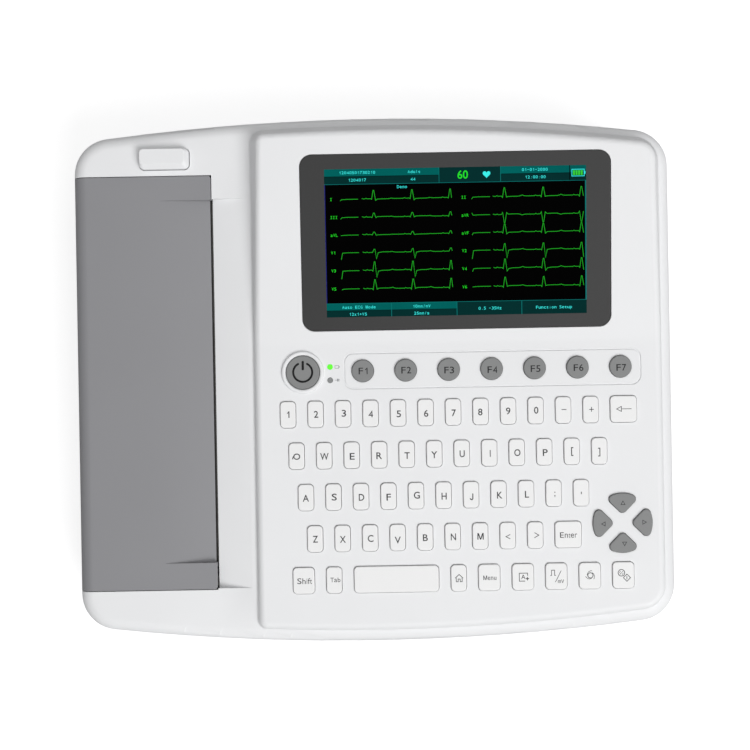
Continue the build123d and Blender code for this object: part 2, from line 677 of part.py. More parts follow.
def make_lead_socket():
    """Flange and shell with a row of eight contact holes over a row of seven."""
    socket = socket_box(171.1, 172.5, 19.5, 6.2, 6.2)
    socket = socket + socket_box(160, 177.2, 12.2, 4.6, 4.6)
    for dz, count in ((1.4, 8), (-1.4, 7)):
        for i in range(count):
            y = SOCKET_Y + (i - (count - 1) / 2) * 2.77
            socket = socket - cyl_x(y, SOCKET_Z + dz, 168, 179, 0.6)
    for y in JACK_YS:
        socket = socket + cyl_x(y, SOCKET_Z, 166, 177.6, 2.4)
        socket = socket - cyl_x(y, SOCKET_Z, 169.6, 179, 1.3)
    return from_table(largest(socket))


def make_feet():
    feet = []
    for x, y in FEET:
        foot = cyl_z(x, y, 0, FOOT_H + 1.0, 9.0)
        feet.append(fillet(foot.faces().sort_by(Axis.Z)[0].edges(), 1.2))
    return from_table(gather(feet))


def board_screw(x, y, head, head_r, shank, shank_r):
    """Screw from the z limits and radii of its head and shank."""
    return largest(cyl_z(x, y, *head, head_r) + cyl_z(x, y, *shank, shank_r))


def make_screws():
    screws = []
    for x, y in BOSSES:                  # casing screws, cross slots underneath
        seat = under_z(y) + SCREW_HEAD_H
        screw = cyl_z(x, y, seat - 2.2, seat, 2.9) + cyl_z(x, y, seat - LAP, Z_PART + 10, 1.2)
        screw = screw - box(x - 1.6, x + 1.6, y - 0.35, y + 0.35, seat - 3, seat - 1.1)
        screw = screw - box(x - 0.35, x + 0.35, y - 1.6, y + 1.6, seat - 3, seat - 1.1)
        screws.append(largest(screw))
    foot = MAT_FOOT - BOARD_T
    for x, y in POSTS:                   # keypad board screws, heads underneath
        screws.append(board_screw(x, y, (foot - 1.6, foot), 1.8, (foot - LAP, -3.6), 0.8))
    for posts, z, depth in ((MAIN_POSTS, MAIN_Z, 6), (SUPPLY_POSTS, SUPPLY_Z, 5)):
        face = z + BOARD_T
        for x, y in posts:
            screws.append(board_screw(x, y, (face, face + 1.8), 2.3, (z - depth, face + LAP), 1.0))
    return gather(screws)


# ---------------------------------------------------------------- printer: gears
def gear(teeth, bore, phase, backlash=0.24):
    """Involute spur gear as a prism along Z, with a tooth centred on phase."""
    pressure = math.radians(20)
    pitch_r = MODULE * teeth / 2
    base_r = pitch_r * math.cos(pressure)
    tip_r, root_r = pitch_r + MODULE * 0.95, pitch_r - MODULE * 1.25

    def involute(a):
        return math.tan(a) - a

    half = math.pi / (2 * teeth) - backlash / (2 * pitch_r) + involute(pressure)
    flank = []                           # radius, half angle of the tooth there
    steps = 5
    start_r = max(base_r, root_r + 0.05)
    for i in range(steps + 1):
        r = start_r + (tip_r - start_r) * i / steps
        flank.append((r, half - involute(math.acos(min(1.0, base_r / r)))))
    root_half = flank[0][1] + 0.01
    polar = []
    for k in range(teeth):
        c = math.radians(phase) + 2 * math.pi * k / teeth
        polar.append((root_r, c - root_half))
        polar += [(r, c - h) for r, h in flank]
        polar += [(r, c + h) for r, h in reversed(flank)]
        polar.append((root_r, c + root_half))
    points = [(r * math.cos(a), r * math.sin(a)) for r, a in polar]
    wheel = extrude(make_face(Polyline(*points, close=True)), GEAR_W)
    return wheel - Pos(0, 0, GEAR_W / 2) * Cylinder(bore, GEAR_W * 2)


def gear_at(axis, teeth, bore, phase):
    """A gear turning about Y. phase is in the X-Z plane, from +X towards +Z."""
    return Pos(axis[0], GEAR_Y + GEAR_W, axis[1]) * Rot(90, 0, 0) * gear(teeth, bore, phase)


# the idler turns a gap towards the platen gear, and the pinion is set to mesh with the idler
IDLER_PHASE = IDLER_ANGLE + 180.0 + 180.0 / IDLER_TEETH
IDLER_STEP = 360.0 / IDLER_TEETH
MESH = ((PINION_ANGLE - IDLER_PHASE) % IDLER_STEP) / IDLER_STEP
PINION_PHASE = PINION_ANGLE + 180.0 + (MESH - 0.5) * 360.0 / PINION_TEETH


def make_pinion():
    """Pinion with the motor's shaft."""
    pinion = gear_at(MOTOR, PINION_TEETH, 1.0, PINION_PHASE)
    return largest(pinion + cyl_y(MOTOR, -128.5, GEAR_Y + GEAR_W, 1.5))


# ---------------------------------------------------------------- printer: frame, motor
def end_plate(side, x_right):
    """End plate with an open-topped notch for the spindle."""
    points = [
        (-167.0, -55.5), (x_right, -55.5), (x_right, -13.6), (-94.2, -13.6), (-99.2, -8.6),
        (-168.0, -8.6), (-175.0, -15.0), (-175.0, -26.5), (-167.0, -26.5),
    ]
    notch_r = 4.15
    roll_x, roll_z = ROLL
    span = y_span(side, PLATE_IN - 1, PLATE_OUT + 1)
    notch = cyl_y(ROLL, *span, notch_r)
    notch = notch + box(roll_x - notch_r, roll_x + notch_r, *span, roll_z, 0)
    return poly_xz(points, *y_span(side, PLATE_IN, PLATE_OUT)) - notch


def make_frame():
    front_plate = end_plate(-1, -55.0) - cyl_y(MOTOR, -128, -123, 4.2)
    rear_plate = end_plate(1, -79.0) - cyl_y(LATCH, 123, 128, LATCH_R + 0.1)
    frame = front_plate + rear_plate + box(-167, -79, -PLATE_OUT, PLATE_OUT, -55.5, -53.5)
    frame = frame + box(-81, -79, -110, PLATE_OUT, -55.5, -14.5)
    frame = frame + cyl_y(IDLER, -124.4, -118.9, 2.0)
    # lugs that carry the latch shaft and the print head's pivot
    lug_points = [
        (-106.5, -54), (-87.0, -54), (-87.0, -33.6), (-95.6, -33.6), (-95.6, -42.0), (-106.5, -42.0),
    ]
    for side in (-1, 1):
        y0, y1 = y_span(side, *CHEEK)
        lug = poly_xz(lug_points, y0, y1) - cyl_y(LATCH, y0 - 1, y1 + 1, LATCH_R + 0.1)
        frame = frame + (lug - cyl_y(HEAD_PIVOT, y0 - 1, y1 + 1, PIN_R))
    # bracketed shelf for the button spring
    shelf = box(-136, -117.5, 126.2, 140.5, SHELF_TOP - 2, SHELF_TOP)
    shelf = shelf - cyl_z(-126, BUTTON_Y, -30, -20, 1.5)
    bracket = poly_yz([(126.2, -25), (138, -25), (126.2, -38)], -136, -134.5)
    return largest(frame + shelf + bracket)


def make_motor():
    """Round motor body, flattened above and below, with a block underneath."""
    x, z = MOTOR
    radius = 17.5
    motor = cyl_y(MOTOR, -148.0, -PLATE_OUT, radius)
    motor = motor & box(x - radius, x + radius, -149, -PLATE_OUT, -48.0, -12.5)
    motor = motor + box(x - 6, x + 12, -142, -132, z - 19.6, z - 10)
    return largest(motor - cyl_y(MOTOR, -129, -126, 2.0))


# ---------------------------------------------------------------- printer: door
def door_with_slot():
    """Door skin with its side of the paper scoop and slot."""
    door = largest(body_shell() & box(-200, DOOR_EDGE, -DOOR_Y, DOOR_Y, HINGE[1], 5))
    z_in = Z_DECK - WALL
    floor = poly_xz([
        (SCOOP_X0 - 2, z_in + 0.3), (SCOOP_X0 + 2, z_in + 0.3), (DOOR_EDGE, Z_DECK - 2.4),
        (DOOR_EDGE, z_in - SCOOP_DEPTH + 0.1), (SCOOP_X0 - 2, z_in - 0.2),
    ], SLOT_Y0 - WALL, SLOT_Y1 + WALL)
    door = largest(door + floor)
    scoop = poly_xz([
        (SCOOP_X0, Z_DECK + 3), (SCOOP_X0, Z_DECK),
        (DOOR_EDGE + 1, Z_DECK - SCOOP_DEPTH - 0.14), (DOOR_EDGE + 1, Z_DECK + 3),
    ], SLOT_Y0, SLOT_Y1)
    door = largest(door - scoop)
    return largest(door - box(SLOT_X0, DOOR_EDGE + 1, SLOT_Y0, SLOT_Y1, Z_DECK - 12, 5))


def make_door():
    door = door_with_slot()
    # round the free edge's two corners
    radius = 1.6
    corner_x, corner_y = DOOR_EDGE - radius, DOOR_Y - radius
    for side in (-1, 1):
        corner = box(corner_x, DOOR_EDGE + 1, *y_span(side, corner_y, DOOR_Y + 1), -12, 0)
        corner = corner - cyl_z(corner_x, side * corner_y, -13, 1, radius)
        door = largest(door - corner)
    # hinge barrel
    hinge_z = HINGE[1]
    door = largest(door + cyl_y(HINGE, -DOOR_Y, DOOR_Y, HINGE_R))
    door = largest(door + box(-178, -175.5, -DOOR_Y, DOOR_Y, hinge_z - LAP, hinge_z + 1))
    # cheeks that carry the platen shaft, and bores for the hinge pins
    cheek_top = Z_DECK - WALL + 0.5
    cheek_points = [
        (-122.0, cheek_top), (-99.0, cheek_top), (-99.0, -20.0), (-102.0, -24.0), (-107.0, -24.0),
        (-122.0, -12.0),
    ]
    for side in (-1, 1):
        y0, y1 = y_span(side, *CHEEK)
        door = largest(door + poly_xz(cheek_points, y0, y1))
        door = largest(door - cyl_y(PLATEN, y0 - 1, y1 + 1, SHAFT_R + 0.1))
        door = largest(door - cyl_y(HINGE, *y_span(side, 111.5, 125), PIN_R + 0.1))
    rib_points = [
        (-176, -12.5), (-171, -7.0), (-128, -7.0), (-128, -8.3), (-168.5, -8.3), (-174.2, -14.5),
        (-176, -14.5),
    ]
    for y in (-60, 0, 60):
        door = largest(door + poly_xz(rib_points, y - 0.75, y + 0.75))
    return door


# ---------------------------------------------------------------- printer: platen, head, reel
def make_platen_roller():
    return largest(cyl_y(PLATEN, -109.5, 109.5, PLATEN_R) - cyl_y(PLATEN, -112, 112, SHAFT_R))


def make_print_head():
    head = box(-97.3, -95.3, -110.5, 110.5, -32.0, -14.6)
    return largest(head + box(-97.3, -96.0, -100, 100, -34.5, -31.9))


def make_head_carrier():
    """Finned bar behind the head, on three pivot lugs, with seats for the springs."""
    carrier = box(-95.3, -89.5, -110.5, 110.5, -33.2, -15.0)
    for i in range(4):
        z = -31.0 + i * 4.2
        carrier = carrier - box(-92.0, -89.0, -111, 111, z, z + 2.0)
    lug_points = [
        (-94.5, -33.1), (-94.5, -37.0), (-93.5, -39.2), (-89.8, -39.2), (-88.8, -37.0),
        (-89.6, -33.1),
    ]
    for y in (-104, 0, 104):
        carrier = carrier + poly_xz(lug_points, y - 4, y + 4)
    carrier = carrier - cyl_y(HEAD_PIVOT, -112, 112, PIN_R + 0.1)
    for y in HEAD_SPRING_YS:
        carrier = carrier - cyl_x(y, HEAD_SPRING_Z, -91.2, -89.0, 3.4)
    return largest(carrier)


def make_pins():
    """Two hinge pins and the head's pivot."""
    pins = [cyl_y(HINGE, 112, 130, PIN_R), cyl_y(HINGE, -130, -112, PIN_R)]
    return gather(pins + [cyl_y(HEAD_PIVOT, -CHEEK[1], CHEEK[1], PIN_R)])


def make_springs():
    """Three springs behind the head and a coil round the latch shaft."""
    springs = []
    for y in HEAD_SPRING_YS:
        spring = coil(2.6, 0.35, 8.9)
        springs.append(largest(Pos(-90.0, y, HEAD_SPRING_Z) * Rot(0, 90, 0) * spring))
    latch_coil = coil(3.9, 0.4, 7.0)
    springs.append(largest(Pos(LATCH[0], 108.0, LATCH[1]) * Rot(90, 0, 0) * latch_coil))
    return gather(springs)


def make_paper():
    return largest(cyl_y(ROLL, -108, 108, ROLL_R) - cyl_y(ROLL, -110, 110, 7.6))


def make_spindle():
    """Hollow core with a flange and a journal at each end."""
    spindle = cyl_y(ROLL, -109.4, 109.4, 7.55) - cyl_y(ROLL, -106, 106, 5.0)
    for near, far, radius in ((108.3, 110.3, 10.0), (110.2, 127.5, 4.0)):
        for side in (1, -1):
            spindle = spindle + cyl_y(ROLL, *y_span(side, near, far), radius)
    return largest(spindle)


# ---------------------------------------------------------------- printer: latch, release button
ARM_TIP, ARM_TIP_R = (-110.0, -22.0), 2.0    # rounded end of the arm that the button pushes
ARM_Y = (129.4, 134.0)


def make_latch():
    """Shaft with a hooked arm near each end and the release arm at the rear."""
    x, z = LATCH
    latch = cyl_y(LATCH, -118.4, ARM_Y[1], LATCH_R)
    hook_points = [
        (x - 4.2, z - 3.6), (x + 4.2, z - 3.6), (x + 4.6, z + 5), (-96.0, -20.0), (-96.0, -13.9),
        (-99.5, -13.9), (-101.85, -15.2), (-101.85, -16.4), (-99.4, -16.4), (-99.4, -21.0),
        (x - 3.6, z + 8),
    ]
    for side in (-1, 1):
        latch = latch + poly_xz(hook_points, *y_span(side, 116.8, 118.4))
    tip_x, tip_z = ARM_TIP
    arm = poly_xz([
        (x - 3.6, z - 3.0), (x + 3.6, z - 3.0), (x + 3.2, z + 4), (tip_x + 2.0, tip_z),
        (tip_x - 2.0, tip_z - 0.5), (x - 5.0, z + 4),
    ], *ARM_Y)
    return largest(latch + arm + cyl_y(ARM_TIP, *ARM_Y, ARM_TIP_R))


def make_release_button():
    def plan(grow_w=0.0, grow_h=0.0, radius=BUTTON_R):
        return rrect(BUTTON_X, BUTTON_Y, BUTTON_W + grow_w, BUTTON_H + grow_h, radius)

    rim_z = Z_DECK + 3.4
    cap = slab(plan(), Z_DECK - 3.5, rim_z)
    # finger face: steep at the rear and left, a longer slope to the front and right
    top = rrect(BUTTON_X - 1.15, BUTTON_Y + 1.25, BUTTON_W - 3.1, BUTTON_H - 3.3, 2.2)
    face = loft([Pos(0, 0, rim_z) * plan(), Pos(0, 0, BUTTON_TOP) * top], ruled=True)
    # guards the fillet of the finger face: if the kernel can't build it, the edge stays sharp
    try:
        face = round_top(face, 0.5)
    except Exception:
        pass
    cap = cap + face
    button = cap + slab(plan(2.4, 1.5, 3.6), BUTTON_FOOT, Z_DECK - 3.49)
    # stem whose lower end is a 45 degree wedge, z = x + rise, just clear of the latch arm's tip
    clearance = 0.2
    rise = (ARM_TIP[1] - ARM_TIP[0]) + (ARM_TIP_R + clearance) * math.sqrt(2)
    x0, x1 = -116.6, -109.8
    stem = poly_xz([
        (x0, Z_DECK - 4), (x1, Z_DECK - 4), (x1, x1 + rise), (x0 + 2.5, x0 + rise + 2.5),
        (x0 + 2.5, x0 + rise + 1.0), (x0, x0 + rise + 1.0),
    ], 129.8, 133.6)
    return largest(button + stem)


# ---------------------------------------------------------------- all the pieces
parts = {
    "upper_case": make_upper_case(),
    "lower_case": make_lower_case(),
    "screen_window": make_window(),
    "lcd_module": make_lcd(),
    "power_button": round_cap(POWER_X, POWER_Y, POWER_R, 1.2, GREY_TOP, 0.6),
    "status_lights": make_lights(),
    "keypad_mat": make_keypad_mat(),
    "keypad_board": make_keypad_board(),
    "main_board": make_board(MAIN_BOARD, MAIN_Z, MAIN_POSTS, MAIN_BLOCKS),
    "power_supply": make_board(SUPPLY_BOARD, SUPPLY_Z, SUPPLY_POSTS, SUPPLY_BLOCKS, SUPPLY_CANS),
    "battery_pack": make_battery(),
    "battery_cover": make_battery_cover(),
    "mains_inlet": make_inlet(),
    "data_ports": make_data_ports(),
    "lead_socket": make_lead_socket(),
    "rubber_feet": make_feet(),
    "screws": make_screws(),
    "platen_gear": largest(gear_at(PLATEN, PLATEN_TEETH, SHAFT_R, IDLER_ANGLE)),
    "idler_gear": largest(gear_at(IDLER, IDLER_TEETH, 2.1, IDLER_PHASE)),
    "motor_pinion": make_pinion(),
    "printer_frame": make_frame(),
    "stepper_motor": make_motor(),
    "printer_door": make_door(),
    "platen_shaft": largest(cyl_y(PLATEN, GEAR_Y, 119.0, SHAFT_R)),
    "platen_roller": make_platen_roller(),
    "print_head": make_print_head(),
    "head_carrier": make_head_carrier(),
    "pivot_pins": make_pins(),
    "paper_roll": make_paper(),
    "paper_spindle": make_spindle(),
    "door_latch": make_latch(),
    "springs": make_springs(),
    "release_button": make_release_button(),
    "button_spring": largest(
        Pos(-126.0, BUTTON_Y, SHELF_TOP) * coil(3.6, 0.35, BUTTON_FOOT - SHELF_TOP)),
}
for name, places in KEYS.items():
    parts[name] = make_keys(places)
for i, x in enumerate(FUNCTION_X):
    parts[f"f{i + 1}_key"] = round_cap(x, FUNCTION_Y, FUNCTION_R, 1.0, FUNCTION_TOP, 0.7)
for name, turn in NAV_TURN.items():
    parts[name] = make_cap(nav_sketch(turn), nav_sketch(turn, 0.8), GREY_TOP, 0.6)

for name, shape in parts.items():
    export_step(to_table(shape), f"parts/{name}.step")
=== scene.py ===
# A desktop heart-trace recorder: a white casing with a keyboard at the front, a tilted colour
# display and function keys behind it, and a paper-roll printer on the left. It stands on z = 0
# with +X right and +Y to the rear. CAD pieces are in metres; everything drawn here is in mm on
# the casing's top panel, which slopes up to the rear.
import functools
import json
import math

import bmesh
import bpy
from mathutils import Matrix, Vector

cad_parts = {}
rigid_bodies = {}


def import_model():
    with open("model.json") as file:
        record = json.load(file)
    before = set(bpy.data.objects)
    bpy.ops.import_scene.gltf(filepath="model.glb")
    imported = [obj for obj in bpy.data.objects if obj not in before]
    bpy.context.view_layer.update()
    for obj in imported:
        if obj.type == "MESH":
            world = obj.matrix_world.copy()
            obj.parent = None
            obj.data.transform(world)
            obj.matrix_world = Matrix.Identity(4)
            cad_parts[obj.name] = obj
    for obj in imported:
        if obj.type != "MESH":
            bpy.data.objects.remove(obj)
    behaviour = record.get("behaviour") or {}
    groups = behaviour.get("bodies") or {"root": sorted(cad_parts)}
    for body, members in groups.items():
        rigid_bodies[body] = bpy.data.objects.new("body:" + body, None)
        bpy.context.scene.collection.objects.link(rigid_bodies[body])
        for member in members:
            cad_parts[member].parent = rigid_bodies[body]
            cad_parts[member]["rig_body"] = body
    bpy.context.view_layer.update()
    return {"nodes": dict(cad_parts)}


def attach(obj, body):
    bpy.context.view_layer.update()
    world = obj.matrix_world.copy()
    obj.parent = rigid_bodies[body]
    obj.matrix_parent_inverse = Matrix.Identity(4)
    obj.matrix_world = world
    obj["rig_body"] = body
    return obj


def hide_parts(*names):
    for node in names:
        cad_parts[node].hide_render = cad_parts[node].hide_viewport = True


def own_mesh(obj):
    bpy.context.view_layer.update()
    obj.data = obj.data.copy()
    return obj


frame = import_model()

NODES = frame["nodes"]

PANEL_TILT = math.radians(5)
SCREEN_TILT = math.radians(6)                       # on top of the panel's tilt
# Panel frame: keyboard surface at z = 0, +X right, +Y to the rear, in mm.
PANEL = (Matrix.Translation((0, -0.00398, 0.074)) @ Matrix.Rotation(PANEL_TILT, 4, "X")
         @ Matrix.Scale(0.001, 4))
SCREEN = PANEL @ Matrix.Translation((0, 21.5, 0)) @ Matrix.Rotation(SCREEN_TILT, 4, "X")
ROLL_CENTRE = (-144.5, 0, -31.5)                    # paper roll, panel frame


# ------------------------------------------------------------------ shader helpers
MATERIALS = {}
NOISE_MIDDLE = (0.3, 0.7)                           # the range most noise values fall in


def linear(*srgb):
    """Linear colour from 0-255 sRGB values."""
    out = []
    for c in srgb:
        c = c / 255
        out.append(c / 12.92 if c <= 0.04045 else ((c + 0.055) / 1.055) ** 2.4)
    return tuple(out)


def scaled(colour, factor, lift=0.0):
    return tuple(c * factor + lift for c in colour)


class Shader:
    """Short calls for adding nodes to a node tree."""

    def __init__(self, tree):
        self.tree = tree

    def fill(self, node, inputs):
        """Link or set each input; an RGBA value is given as three numbers."""
        for key, value in inputs.items():
            socket = node.inputs[key]
            if isinstance(value, bpy.types.NodeSocket):
                self.tree.links.new(value, socket)
            elif socket.type == "RGBA":
                socket.default_value = (*value, 1.0)
            else:
                socket.default_value = value

    def node(self, kind, inputs=None, **settings):
        node = self.tree.nodes.new("ShaderNode" + kind)
        for key, value in settings.items():
            setattr(node, key, value)
        self.fill(node, inputs or {})
        return node

    def object_coords(self):
        return self.node("TexCoord").outputs["Object"]

    def coords(self, stretch=(1, 1, 1)):
        inputs = {"Scale": stretch, "Vector": self.object_coords()}
        return self.node("Mapping", inputs).outputs["Vector"]

    def noise(self, vector, scale, detail=2.0, roughness=0.5):
        return self.node("TexNoise", {"Scale": scale, "Detail": detail, "Roughness": roughness,
                                      "Vector": vector}).outputs["Fac"]

    def remap(self, value, to, span=(0.0, 1.0)):
        return self.node("MapRange", {"From Min": span[0], "From Max": span[1], "To Min": to[0],
                                      "To Max": to[1], "Value": value}).outputs["Result"]

    def mix(self, factor, first, second):
        # inputs 6 and 7 are the two colours
        inputs = {"Factor": factor, 6: first, 7: second}
        return self.node("Mix", inputs, data_type="RGBA").outputs[2]


def new_material(name):
    """A material with only a principled surface; returns its shader, surface and output."""
    material = MATERIALS[name] = bpy.data.materials.new(name)
    material.use_nodes = True
    shader = Shader(material.node_tree)
    shader.tree.nodes.clear()
    output = shader.node("OutputMaterial")
    bsdf = shader.node("BsdfPrincipled")
    shader.fill(output, {"Surface": bsdf.outputs["BSDF"]})
    return shader, bsdf, output


# ------------------------------------------------------------------ materials
def surface(name, base, roughness, variation, grain, bump, edge, edge_gain, metallic=0.0,
            specular=0.5, coat=0.0, stretch=(1, 1, 1), blotch=14.0, roughness_spread=0.06):
    """Fine texture, slow colour and gloss variation and softened, slightly worn edges."""
    shader, bsdf, _ = new_material(name)
    vector = shader.coords(stretch)
    fine = shader.noise(vector, scale=grain, detail=3.0, roughness=0.6)
    slow = shader.noise(vector, scale=blotch, detail=3.0, roughness=0.55)
    colour = shader.mix(shader.remap(slow, to=(0, 1), span=NOISE_MIDDLE),
                        scaled(base, 1 - variation), scaled(base, 1 + variation))
    specks = shader.remap(fine, to=(0.35, 0.0), span=(0.32, 0.5))
    colour = shader.mix(specks, colour, scaled(base, 1 - 1.6 * variation))
    if edge:
        # an edge is where the bevelled normal leaves the true one
        bevel = shader.node("Bevel", {"Radius": edge}, samples=4)
        true_normal = shader.node("NewGeometry").outputs["Normal"]
        match = shader.node("VectorMath", {0: bevel.outputs["Normal"], 1: true_normal},
                            operation="DOT_PRODUCT")
        edges = shader.remap(match.outputs["Value"], to=(1.0, 0.0), span=(0.80, 0.985))
        patches = shader.remap(slow, to=(0.2, 1.0), span=(0.35, 0.65))
        worn = shader.node("Math", {0: edges, 1: patches}, operation="MULTIPLY")
        bright = scaled(base, 1 + edge_gain, lift=0.02 * edge_gain)
        colour = shader.mix(worn.outputs[0], colour, bright)
    gloss = (roughness - roughness_spread, roughness + roughness_spread)
    shader.fill(bsdf, {
        "Base Color": colour, "Roughness": shader.remap(slow, to=gloss, span=NOISE_MIDDLE),
        "Metallic": metallic, "Specular IOR Level": specular, "Coat Weight": coat,
        "Coat Roughness": 0.08,
    })
    if bump:
        relief = shader.node("Bump", {"Strength": 1.0, "Distance": bump * 0.001, "Height": fine})
        if edge:
            shader.fill(relief, {"Normal": bevel.outputs["Normal"]})
        shader.fill(bsdf, {"Normal": relief.outputs["Normal"]})


def glow(name, colour, strength=1.0, variation=0.10, dots=2600.0):
    """A lit display colour with a backlight's faint unevenness and the dots of the panel."""
    shader, bsdf, _ = new_material(name)
    vector = shader.coords()
    slow = shader.noise(vector, scale=22.0, detail=2.0)
    fine = shader.noise(vector, scale=dots, detail=1.0)
    light = shader.mix(shader.remap(slow, to=(0, 1), span=NOISE_MIDDLE),
                       scaled(colour, 1 - variation), scaled(colour, 1 + variation))
    light = shader.mix(shader.remap(fine, to=(0.12, 0.0), span=(0.35, 0.6)), light, (0, 0, 0))
    shader.fill(bsdf, {
        "Base Color": (0.001, 0.001, 0.001), "Specular IOR Level": 0.0,
        "Emission Color": light, "Emission Strength": strength,
        "Roughness": shader.remap(slow, to=(0.30, 0.42), span=NOISE_MIDDLE),
    })


def wound_paper():
    """Paper roll: rings about the roll's axis, which runs along the panel's Y."""
    shader, bsdf, _ = new_material("wound_paper")
    place = {"Location": PANEL @ Vector(ROLL_CENTRE), "Rotation": (PANEL_TILT, 0, 0),
             "Vector": shader.object_coords()}
    roll = shader.node("Mapping", place, vector_type="TEXTURE")
    split = shader.node("SeparateXYZ", {0: roll.outputs["Vector"]})
    across = shader.node("CombineXYZ", {"X": split.outputs["X"], "Y": split.outputs["Z"]})
    radius = shader.node("VectorMath", {0: across.outputs[0]}, operation="LENGTH")
    rings = shader.node("TexNoise", noise_dimensions="1D")
    shader.fill(rings, {"Scale": 2600.0, "Detail": 3.0, "W": radius.outputs["Value"]})
    fac = rings.outputs["Fac"]
    colour = shader.mix(shader.remap(fac, to=(0, 1), span=NOISE_MIDDLE),
                        (0.66, 0.655, 0.64), (0.84, 0.835, 0.82))
    relief = shader.node("Bump", {"Distance": 0.00004, "Height": fac})
    shader.fill(bsdf, {"Base Color": colour, "Roughness": 0.6,
                       "Normal": relief.outputs["Normal"]})


def indicator_lens():
    """Two lenses sharing one material: the rear one lit green, the front one off."""
    shader, bsdf, _ = new_material("indicator_lens")
    vector = shader.object_coords()
    split = shader.node("SeparateXYZ", {0: vector})
    lit = shader.remap(split.outputs["Y"], to=(0, 1), span=(-0.0005, 0.0005))
    mottle = shader.noise(vector, scale=900.0, detail=2.0)
    unlit = shader.mix(shader.remap(mottle, to=(0, 1), span=NOISE_MIDDLE),
                       linear(120, 122, 122), linear(140, 142, 142))
    shader.fill(bsdf, {
        "Base Color": shader.mix(lit, unlit, (0.02, 0.25, 0.005)),
        "Emission Color": shader.mix(lit, (0, 0, 0), (0.11, 1.0, 0.004)),
        "Emission Strength": 0.85, "Roughness": 0.25,
    })


WHITE = (0.80, 0.805, 0.815)
SATIN = {"specular": 0.35}
PRINT = {"specular": 0.3}
METAL = {"metallic": 1.0}
# name, base colour, roughness, colour variation, grain scale, bump height (mm),
# edge radius (m), edge lightening, other settings
SURFACES = (
    ("white_moulding", WHITE, 0.52, 0.012, 2200, 0.010, 0.00035, 0.03, SATIN),
    ("white_moulding_base", scaled(WHITE, 0.985), 0.56, 0.014, 1700, 0.016, 0.00035, 0.03, SATIN),
    ("white_keycap", (0.83, 0.83, 0.83), 0.46, 0.010, 2600, 0.006, 0.00018, 0.02,
     {"specular": 0.4}),
    ("white_button", WHITE, 0.50, 0.012, 2200, 0.010, 0.0003, 0.03, SATIN),
    ("grey_keycap", linear(131, 132, 132), 0.50, 0.03, 2400, 0.008, 0.00020, 0.08, SATIN),
    ("grey_moulding", linear(138, 138, 141), 0.50, 0.02, 1900, 0.012, 0.0004, 0.06, SATIN),
    ("window_print", linear(51, 51, 51), 0.42, 0.03, 2400, 0.004, 0.00018, 0.10,
     {"specular": 0.25}),
    ("key_print", linear(56, 56, 58), 0.55, 0.06, 2800, 0.004, 0, 0, PRINT),
    ("dark_print", linear(24, 24, 26), 0.5, 0.06, 2800, 0.004, 0, 0, PRINT),
    ("black_print", linear(8, 8, 9), 0.5, 0.06, 2800, 0.004, 0, 0, {"specular": 0.2}),
    ("icon_print", linear(150, 152, 154), 0.55, 0.04, 2800, 0.004, 0, 0, PRINT),
    ("black_rubber", (0.028, 0.028, 0.029), 0.78, 0.15, 900, 0.03, 0.0004, 0.6, PRINT),
    ("grey_rubber", (0.68, 0.685, 0.69), 0.7, 0.08, 1100, 0.02, 0.0003, 0.2, PRINT),
    ("platen_rubber", (0.020, 0.020, 0.021), 0.62, 0.12, 1500, 0.02, 0.0003, 0.5,
     {"stretch": (1, 0.06, 1)}),
    ("ground_steel", (0.56, 0.56, 0.57), 0.28, 0.05, 1400, 0.006, 0.0002, 0.25,
     {"metallic": 1.0, "stretch": (1, 0.04, 1)}),
    ("zinc_sheet", (0.50, 0.51, 0.52), 0.38, 0.10, 700, 0.010, 0.0003, 0.3,
     {"metallic": 1.0, "blotch": 60.0, "roughness_spread": 0.12}),
    ("zinc_screw", (0.48, 0.48, 0.49), 0.34, 0.08, 1500, 0.008, 0.00015, 0.4, METAL),
    ("spring_wire", (0.42, 0.42, 0.43), 0.30, 0.08, 1500, 0.006, 0, 0, METAL),
    ("extruded_aluminium", (0.62, 0.63, 0.64), 0.36, 0.05, 1600, 0.008, 0.0002, 0.2,
     {"metallic": 1.0, "stretch": (1, 0.03, 1)}),
    ("glazed_head", (0.075, 0.070, 0.062), 0.22, 0.06, 900, 0.004, 0.0002, 0.1, {"coat": 0.6}),
    ("acetal", (0.74, 0.72, 0.65), 0.42, 0.04, 1400, 0.008, 0.00015, 0.1, {}),
    ("black_motor", (0.035, 0.035, 0.037), 0.38, 0.15, 900, 0.012, 0.0004, 1.2, {}),
    ("black_spindle", (0.04, 0.04, 0.042), 0.5, 0.12, 1500, 0.012, 0.0003, 0.6, {}),
    ("black_socket", (0.03, 0.03, 0.032), 0.45, 0.12, 1700, 0.012, 0.0002, 0.8, {}),
    ("plated_shell", (0.62, 0.62, 0.60), 0.30, 0.06, 1100, 0.008, 0.0002, 0.3, METAL),
    ("solder_mask", (0.015, 0.13, 0.05), 0.34, 0.10, 600, 0.010, 0.0003, 0.4, {"coat": 0.3}),
    ("shrink_sleeve", (0.03, 0.09, 0.25), 0.28, 0.06, 800, 0.010, 0.0004, 0.2, {"coat": 0.4}),
    ("display_frame", (0.30, 0.30, 0.31), 0.32, 0.06, 900, 0.006, 0.0003, 0.3,
     {"metallic": 0.8}),
)
for *values, others in SURFACES:
    surface(*values, **others)
wound_paper()
indicator_lens()

glow("display_black", (0.0, 0.0, 0.0), strength=0.0)
glow("display_teal", linear(0, 98, 94))
glow("display_dark_teal", linear(4, 48, 47))
glow("display_blue", linear(30, 34, 118))
glow("display_line", linear(14, 120, 116))
glow("display_cyan", linear(62, 246, 240), variation=0.05, dots=3500)
glow("display_green", linear(40, 226, 44), variation=0.05, dots=3500)
glow("display_lime", linear(60, 214, 60), variation=0.05, dots=3500)
glow("display_trace", linear(36, 176, 40), variation=0.06, dots=3500)

